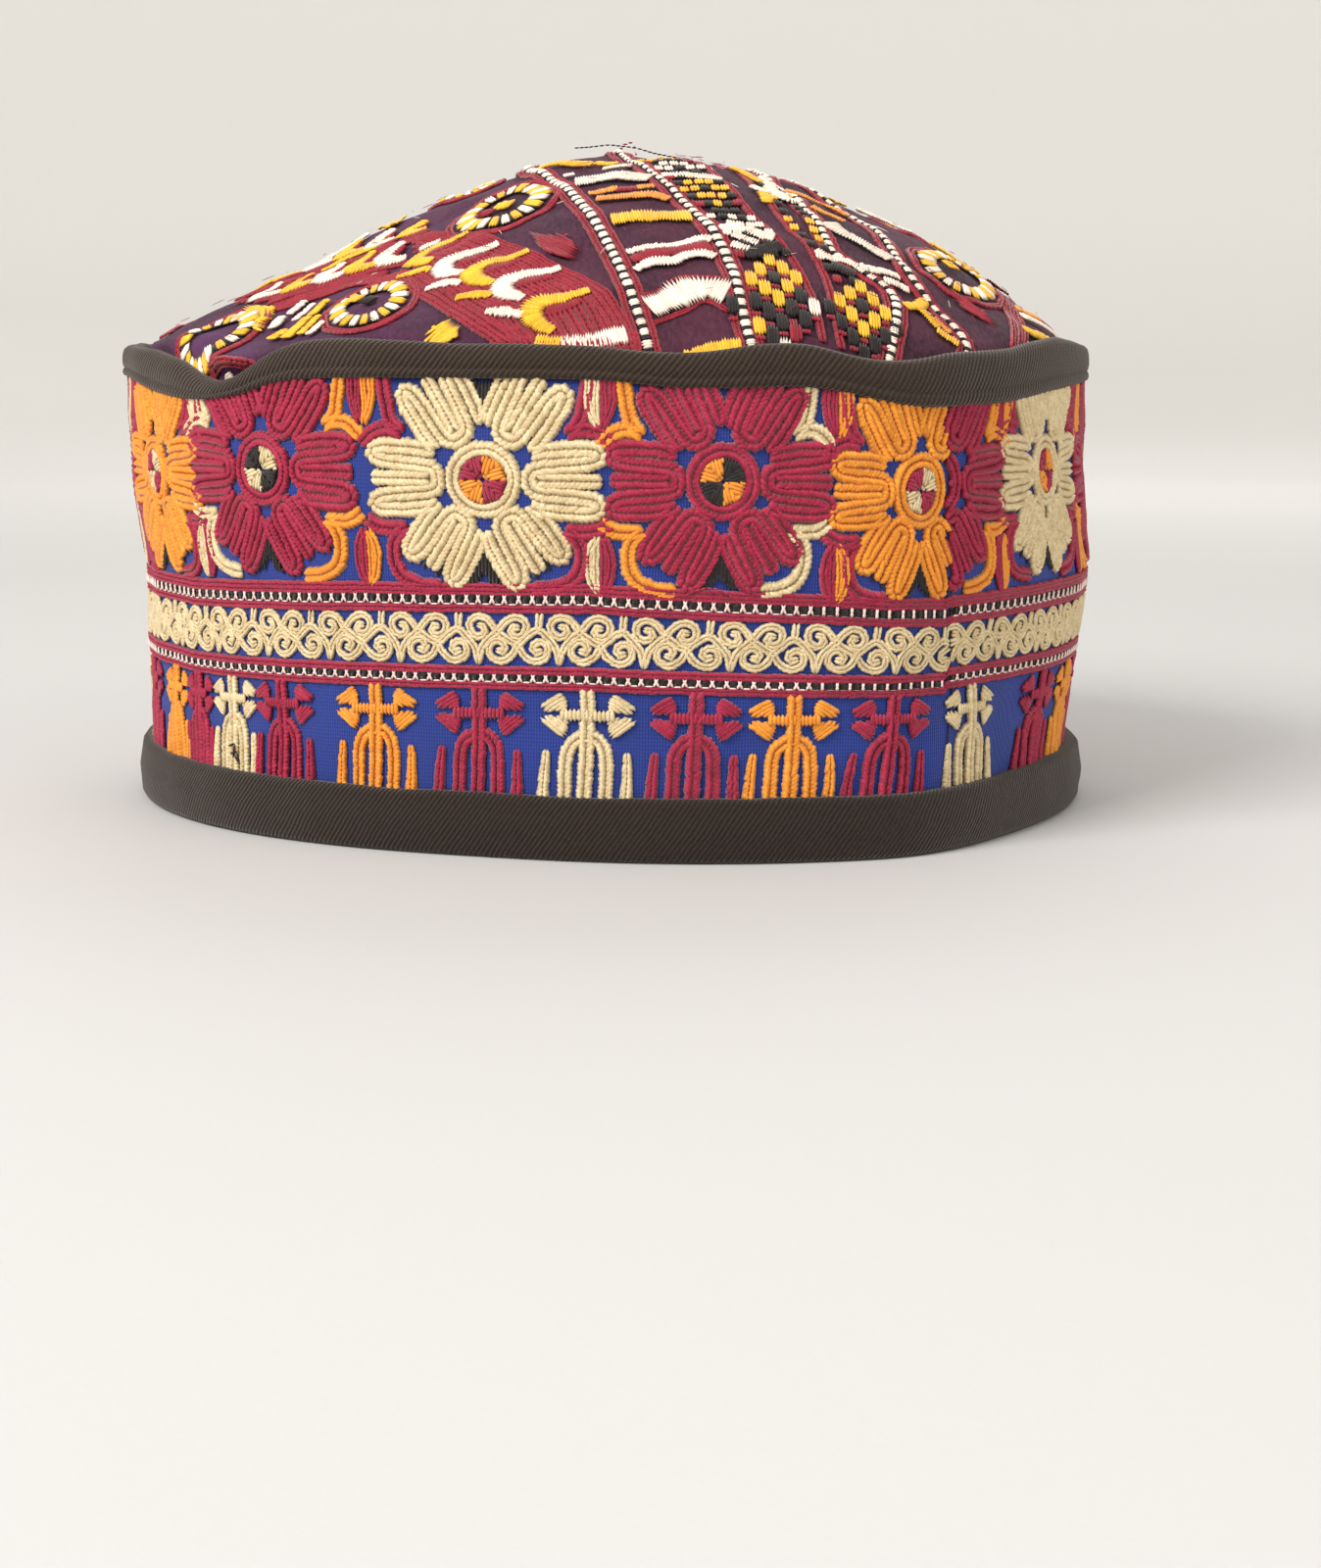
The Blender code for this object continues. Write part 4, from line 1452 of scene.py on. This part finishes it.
# thread, width or widths in millimetres, path from left to right
BARS = [
    ("yellow", 2.4, (-13.0, -15.0), (-7.8, -17.1), (-3.6, -18.8)), ("yellow", 1.8, (-2.4, -18.6), (1.0, -21.2)),
    ("white", 1.3, (-8.6, -25.6), (-7.0, -25.2)), ("white", 1.5, (-1.0, -25.5), (4.0, -26.8)),
    ("white", (6.0, 4.6, 5.2, 4.2), (-6.2, -33.8), (-1.0, -33.6), (3.0, -34.4), (7.2, -35.8)),
    ("orange", 1.4, (-3.6, -42.3), (1.4, -41.2)), ("red", 1.6, (1.6, -42.0), (5.0, -42.2)),
    ("orange", 1.2, (5.2, -41.6), (8.0, -41.0)),
    ("orange", (2.6, 2.2, 2.6, 2.0), (-2.2, -45.7), (3.6, -46.1), (7.3, -45.0), (10.6, -47.0)),
    ("yellow", (4.4, 3.6, 4.8, 4.0, 5.6), (0.6, -56.9), (4.0, -56.5), (7.4, -55.8), (11.0, -56.4),
     (14.6, -56.0)),
    ("white", 1.3, (3.5, -70.4), (8.2, -68.4), (13.0, -67.9), (16.4, -65.1), (18.2, -65.8)),
    ("red", (2.2, 3.2, 3.0, 3.6), (4.4, -73.0), (8.6, -70.8), (13.0, -69.8), (17.8, -68.2)),
    ("white", (1.2, 2.4, 2.6, 1.5, 2.2, 1.4), (5.0, -76.2), (8.2, -73.2), (11.1, -73.9), (14.1, -71.4),
     (16.6, -70.4), (18.8, -71.7)),
    ("white", (6.0, 4.6, 7.0, 6.6, 4.6, 6.4), (7.4, -87.3), (10.4, -85.6), (12.4, -83.8), (14.4, -83.2),
     (17.2, -82.0), (20.8, -83.2)),
    ("yellow", (1.0, 2.2, 2.6), (14.0, -98.4), (18.4, -96.8), (23.6, -95.8)), ("red", 1.6, (15.5, -99.8),
                                                                               (23.8, -98.6)),
    ("white", (2.0, 3.0, 2.2, 2.8, 1.4), (10.0, -33.2), (12.8, -32.6), (15.2, -34.2), (18.0, -34.6),
     (20.6, -35.2)),
    ("white", (1.6, 2.8, 3.0, 2.2, 3.0), (20.2, -61.8), (22.2, -60.8), (24.0, -59.4), (26.2, -61.2),
     (29.6, -62.0)),
    ("white", 1.5, (22.4, -63.4), (26.6, -64.9)), ("white", 1.9, (22.2, -67.0), (24.8, -67.8)),
    ("black", 3.0, (24.4, -69.2), (27.4, -67.4), (31.2, -64.6)),
    ("yellow", 2.6, (23.6, -22.0), (25.5, -24.7), (28.4, -27.2)), ("white", 2.2, (26.6, -35.6), (29.4, -37.6)),
    ("yellow", 1.4, (28.6, -39.2), (29.2, -45.0)),
    ("white", (1.2, 1.4, 2.4, 3.0, 1.4), (29.0, -21.0), (30.3, -29.0), (31.0, -36.4), (32.8, -40.8),
     (35.0, -39.6)),
    ("white", 1.4, (37.8, -63.4), (40.6, -64.9)),
    ("black", 2.8, (40.6, -67.4), (44.6, -68.2)),
    ("orange", (2.4, 2.0, 2.2, 1.6), (33.4, -28.6), (38.2, -30.0), (42.6, -30.4), (45.0, -33.2)),
    ("orange", 1.3, (37.8, -40.5), (40.4, -41.8)), ("orange", 1.3, (41.0, -41.4), (43.6, -42.7)),
    ("white", (5.0, 3.2, 3.6, 4.0, 3.6), (40.6, -48.6), (43.4, -51.4), (47.4, -52.0), (50.2, -53.2),
     (52.2, -54.4)),
    ("white", 1.5, (41.3, -63.9), (45.1, -64.9)), ("white", 1.6, (46.1, -64.4), (49.8, -63.4), (53.3, -61.6)),
    ("white", 1.5, (50.8, -66.0), (55.4, -65.2)),
    ("yellow", 1.7, (54.6, -73.6), (56.9, -71.5), (59.0, -65.8)), ("yellow", 1.9, (57.0, -71.9), (60.9, -74.6)),
    ("yellow", 1.6, (61.0, -76.2), (65.0, -76.8)), ("orange", 1.3, (60.4, -72.0), (63.6, -74.0)),
    ("orange", 1.6, (81.4, -34.8), (86.4, -31.0)), ("white", 1.7, (82.2, -39.8), (88.2, -34.8), (93.5, -32.4)),
    ("yellow", 1.9, (81.3, -51.3), (86.0, -46.6), (90.5, -43.2)), ("white", 1.6, (82.0, -57.4), (86.6, -53.8)),
    ("yellow", (1.4, 3.8, 1.6), (-57.0, -31.0), (-50.6, -27.4), (-44.0, -24.4)),
    ("yellow", 2.2, (-64.6, -64.6), (-62.4, -62.0)), ("yellow", 2.4, (-61.6, -66.6), (-57.8, -60.6)),
    ("white", 1.6, (-65.2, -56.0), (-64.2, -51.8)), ("yellow", 1.6, (-58.4, -67.6), (-55.2, -63.6)),
    ("white", 1.4, (-56.6, -70.6), (-54.2, -67.6)), ("white", 1.5, (-60.6, -57.4), (-57.6, -52.8)),
    ("yellow", 1.6, (-57.4, -59.0), (-54.6, -54.6)), ("white", 1.4, (-62.6, -50.6), (-60.0, -47.2)),
]
for spool, width, *path in BARS:
    bar("crown_" + spool, width, *path)
red_line((7.6, -91.4), (11.1, -88.9), (13.8, -88.0), (16.1, -85.4), (18.4, -85.4), (21.0, -87.4))
red_line((6.6, -83.4), (9.8, -82.4), (12.0, -79.2), (16.0, -79.0), (20.0, -79.2), width=1.0)
for shift in (-0.7, 0.7, 2.1):
    red_line((79.2 + shift, -30), (79.8 + shift, -48), (78.6 + shift, -63), width=1.5)
diamond((28.8, -69.4), (2.45, -2.3), (-1.7, -4.2), ("yyy..", "ykykw", "yyykk", ".kkkr", "k.ykw"), tall=5.8)
panel(((5.8, -17), (8.2, -25), (14.8, -44), (21.0, -61.8), (23.6, -69.5)),
      ((14.0, -17), (17.4, -28), (21.8, -42), (25.8, -54), (32.0, -66.5)),
      ("yyyy.", "rkkkr", ".www.", "wwkww", ".kkk.", "rkykr", "kyyyk", "yykyy", "kyyyk", "rkykr", ".kkk.",
       "wkwkw",
       ".wwww", "wwkww", ".kkk.", "rkkkk"))
panel(((28.4, -26), (30.6, -43), (33.4, -54), (37.0, -62), (41.5, -71.5)),
      ((30.6, -26), (34.8, -43), (38.0, -56), (39.8, -63), (44.5, -70.5)),
      ("kw", "kk", "yk", "yy", "yk", "kk", "kk", "yy", "yy", "ky", "kk", "ww", "kk", "rk"))
diamond((45.8, -71.9), (2.3, -3.1), (-2.0, -3.2), ("yyyk", "ykyk", "yyyk", "kkkk"))

# %% Rings and leaves
# centre, half width, half height, lean in degrees and number of spokes
RINGS = (((-20.3, -36.2), 9.6, 10.4, 0, 22), ((-45.2, -66.4), 7.6, 11.0, 8, 20),
         ((67.6, -38.8), 8.2, 13.4, -18, 22), ((-77.0, -51.5), 7.4, 11.6, -30, 20))
for centre, across, tall, lean, count in RINGS:
    ring_of_spokes(centre, across, tall, lean, count)
bar("crown_yellow", 2.2, (-49.4, -61.0), (-47.0, -63.0))
bar("crown_black", 2.2, (-45.8, -65.6), (-44.4, -67.6))
bar("crown_yellow", 2.6, (-21.4, -36.6), (-18.6, -38.4))
bar("crown_red", 2.0, (-24.6, -36.8), (-22.6, -38.8))
bar("crown_yellow", 2.0, (65.2, -37.4), (66.4, -39.4))
for spool, lean, shape in (
    ("red", -55, ((-15.0, -55.0), (-11.5, -57.0), (-7.5, -61.0), (-5.2, -66.5), (-5.6, -69.2), (-8.3, -69.2),
                  (-11.5, -65.5), (-13.8, -60.5))),
    ("red", -25, ((64.5, -54.5), (68.5, -54.6), (72.5, -56.2), (75.0, -58.8), (71.5, -60.0), (67.5, -58.6))),
    ("yellow", -60, ((-75.0, -38.5), (-70.0, -39.5), (-65.5, -44.5), (-66.0, -50.0), (-67.5, -56.5),
                     (-69.8, -52.0),
                     (-73.0, -46.0))),
    ("yellow", 35, ((-35.4, -88.6), (-32.0, -84.6), (-29.3, -83.5), (-27.0, -86.2), (-27.8, -88.8),
                    (-31.0, -89.6))),
):
    front_wind("crown_" + spool, satin(shape, lean, 0.5, 0.85, 0.5, 0.3))

# %% Hooks
HOOK = ((9.8, 1.8), (5.4, 0.6), (1.8, 1.1), (-0.2, -0.2), (-1.0, -2.8), (0.2, -5.6), (3.2, -8.0))
HOOK_FILL = ((2.4, -1.6), (5.4, -1.8), (8.0, -0.6))
HOOK_UNDER = ((-3.6, -5.0), (-1.4, -8.4), (2.0, -10.6))
HOOK_TAIL = ((-3.2, -10.0), (0.4, -11.0), (3.0, -12.6))


def hook(spool, x, y, lean, size, tail):
    """A hook of short threads across its bend, with a red fill, and a tail bar below."""
    matrix = turning(lean) * size
    shapes = (HOOK, HOOK_FILL, HOOK_UNDER, HOOK_TAIL)
    bend, fill, under, end = (np.array(shape) @ matrix + (x, y) for shape in shapes)
    bar(spool, (1.5, 2.0, 2.9, 3.8, 3.8, 3.0, 1.8), *bend)
    bar("crown_red", (3.4 * size, 2.4 * size, 1.2 * size), *fill, lift=0.4)
    red_line(*under, width=2.0)
    if tail:
        bar(spool, (1.0, 2.0, 1.2), *end)


# lean in degrees, size, whether a tail hangs below, then each hook's thread and place
HOOK_ROWS = (
    (0.0, 1.0, True, ("yellow", -37.0, -46.8), ("white", -30.8, -58.0), ("yellow", -24.8, -65.6),
     ("white", -19.0, -73.8)),
    (0.0, 1.0, False, ("yellow", -13.6, -83.6)),
    (38.0, 0.62, False, ("white", -44.6, -40.2), ("yellow", -50.6, -38.6), ("white", -57.0, -37.4),
     ("yellow", -63.6, -34.4), ("white", -70.4, -30.4)),
    (38.0, 0.6, False, ("yellow", -41.0, -26.0), ("white", -47.6, -23.4), ("yellow", -54.2, -20.6),
     ("white", -60.8, -17.6), ("yellow", -67.6, -14.6)),
)
for lean, size, tail, *places in HOOK_ROWS:
    for spool, x, y in places:
        hook("crown_" + spool, x, y, lean, size, tail)
bar("crown_yellow", 2.2, (-13.2, -93.6), (-9.2, -94.8))
bar("crown_white", 3.4, (-8.6, -95.4), (-3.0, -95.6), (2.8, -94.2))
bar("crown_white", 1.6, (-36.8, -42.4), (-33.0, -42.2))
UPPER_EDGE = ((-38.0, -35.0), (-25.8, -50.5), (-18.0, -63.1), (-10.5, -74.0), (-3.4, -83.0), (0.4, -97.0))
LOWER_EDGE = ((-36.6, -57.0), (-34.2, -63.0), (-29.5, -72.2), (-24.4, -81.2), (-20.6, -87.0), (-15.6, -97.0))
SIDE_UPPER_EDGE = ((-76.0, -22.0), (-61.5, -28.8), (-50.8, -35.2), (-42.7, -37.0))
SIDE_LOWER_EDGE = ((-66.0, -41.6), (-58.0, -42.6), (-52.1, -44.2), (-44.0, -48.4))
for upper, lower, shares in ((UPPER_EDGE, LOWER_EDGE, np.linspace(0.05, 0.95, 9)),
                             (SIDE_UPPER_EDGE, SIDE_LOWER_EDGE, np.linspace(0.1, 0.9, 4))):
    for share in shares:
        between = np.array(upper) * (1 - share) + np.array(lower) * share
        front_wind("crown_red_line", chain(between, 1.9, 1.4))
for shift in (-2.6, -1.3, 0.0, 1.3):
    red_line((-38.0, -32.0 + shift), (-25.8, -47.5 + shift), (-18.0, -60.1 + shift), (-10.5, -71.0 + shift),
             (-3.4 + shift, -79.5), (1.4 + shift, -89.4), (4.0 + shift, -98.0), width=1.5)
for shift in (-2.2, -0.8, 0.6, 2.0):
    red_line((-38.6 + shift, -57.0), (-36.2 + shift, -63.0), (-31.5 + shift, -72.2), (-26.4 + shift, -81.2),
             (-22.6 + shift, -87.0), (-17.6 + shift, -93.0), width=1.6)
for shift in (-1.4, 0.0, 1.4):
    red_line((-66.0, -43.6 + shift), (-58.0, -44.6 + shift), (-52.1, -46.2 + shift), (-44.0, -50.4 + shift),
             (-39.0, -55.6 + shift), width=1.5)
    red_line((-76.0, -18.0 + shift), (-61.5, -25.8 + shift), (-50.8, -32.2 + shift), (-42.7, -34.0 + shift),
             (-38.0, -33.0 + shift), width=1.5)
HANGING = (("white", -55.2), ("yellow", -51.7), ("white", -48.2), ("yellow", -44.7), ("white", -41.4))
for spool, angle in HANGING:
    turn = math.radians(angle)
    brick("crown_" + spool, 104.0 * math.sin(turn), -104.0 * math.cos(turn), 2.1, 3.4, -angle)
for reach in (100.0, 101.2):
    turns = np.radians(np.linspace(-62.0, -42.0, 12))
    red_line(*np.stack([reach * np.sin(turns), -reach * np.cos(turns)], axis=1), width=1.5)

# %% [markdown]
# ## The sides and the back
# From the front, the rest of the crown isn't seen. Such crowns repeat from front to back, so
# the far half is the front half turned over, and the space at each side gets a ring, leaves
# and hooks of the same make.

# %% Sides and back
for side, first in ((-1, "crown_yellow"), (1, "crown_white")):
    ring_of_spokes((side * 62.0, 0.0), 8.6, 8.6, 0.0, 20, first)
    bar("crown_white", 1.8, (side * 49.0, -12.4), (side * 53.5, -15.6), (side * 59.5, -16.8))
    bar("crown_yellow", 2.2, (side * 64.0, -17.0), (side * 70.0, -15.6), (side * 74.5, -11.6))
    for spool, leaf in (("crown_yellow", ((44, -15), (47, -8), (45, -2), (41, -8))),
                        ("crown_red", ((80, -14), (83, -7), (80, -1), (77, -7)))):
        front_wind(spool, satin(np.array(leaf) * (side, 1), 80, 0.5, 0.85, 0.5, 0.3))
    for reach in (86.0, 87.5):
        red_line((side * (reach + 4.0), -22.0), (side * (reach + 1.0), -10.0), (side * reach, 0.0), width=1.8)
ring_of_spokes((-29.0, 0.0), 6.6, 6.6, 0.0, 18)
for spool, rows in front_rows.items():
    front = np.concatenate(rows)
    back = turned(front, stretch=(1.0, -1.0))
    back = back[np.minimum(back[:, 1], back[:, 3]) > 0.4]
    front = front[np.maximum(front[:, 1], front[:, 3]) < 0.4]
    reach = np.hypot(back[:, 0], back[:, 1])
    wind(spool, front, back[reach < 98.0])
wind("crown_black", loose(((-6.5, -3.0), (-1.0, -1.0), (6.0, 0.5), (15.0, -2.0)), 0.34, (2.6, 2.0, 1.2, 0.2)))
# stray fibres, and the loose threads near the top
for spool, count in (("crown_red", 420), ("crown_white", 40)):
    turns, reaches = chance.uniform(0, math.tau, count), 94.0 * np.sqrt(chance.uniform(0, 1, count))
    feet = np.stack([np.cos(turns), np.sin(turns)], axis=1) * reaches[:, None]
    ways = chance.uniform(0, math.tau, count)
    tips = feet + np.stack([np.cos(ways), np.sin(ways)], axis=1) * chance.uniform(1.2, 3.2, count)[:, None]
    wind(spool, stitches(feet, tips, 0.13, 0.13, chance.uniform(0.5, 1.5, count)))
wind("crown_red", loose(((1.5, -1.0), (2.6, 1.0), (4.6, 0.4), (5.2, -1.6)), 0.4, (0.3, 2.2, 2.6, 0.3)))

# %% Sew the crown
crown_white_thread = thread("crown_white_thread", "#cdb8a4", "#fff4e4", "#f6e2d0", 0.5)
crown_yellow_thread = thread("crown_yellow_thread", "#d08a18", "#ffd23c", "#f0b428", 0.5)
crown_orange_thread = thread("crown_orange_thread", "#c8702c", "#f6b04a", "#e89844", 0.5)
crown_red_thread = thread("crown_red_thread", "#650d1a", "#a92236", "#8c1828", 0.6)
CROWN_SEWING = {
    "crown_white": ("crown_white_satin", satin_tree, crown_white_thread),
    "crown_yellow": ("crown_yellow_satin", satin_tree, crown_yellow_thread),
    "crown_orange": ("crown_orange_satin", satin_tree, crown_orange_thread),
    "crown_red": ("crown_red_satin", satin_tree, crown_red_thread),
    "crown_black": ("crown_black_satin", satin_tree, black_thread),
    "crown_red_line": ("crown_red_chain", chain_tree, crown_red_thread),
}
sew_all(CROWN_SEWING, on_crown, "crown_cloth")

# %% Ride and replace
REPLACED = {"band_cloth": ("side_band", "band_cloth"), "crown_cloth": ("crown", "crown_cloth"),
            "piping_cloth": ("top_piping", "piping_twill"), "hem_tape": ("hem_binding", "hem_twill")}
for name, (node, slot) in REPLACED.items():
    piece = bpy.data.objects[name]
    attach(piece, "root")
    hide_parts(node)
for piece, slot in sewn:
    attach(piece, "root")
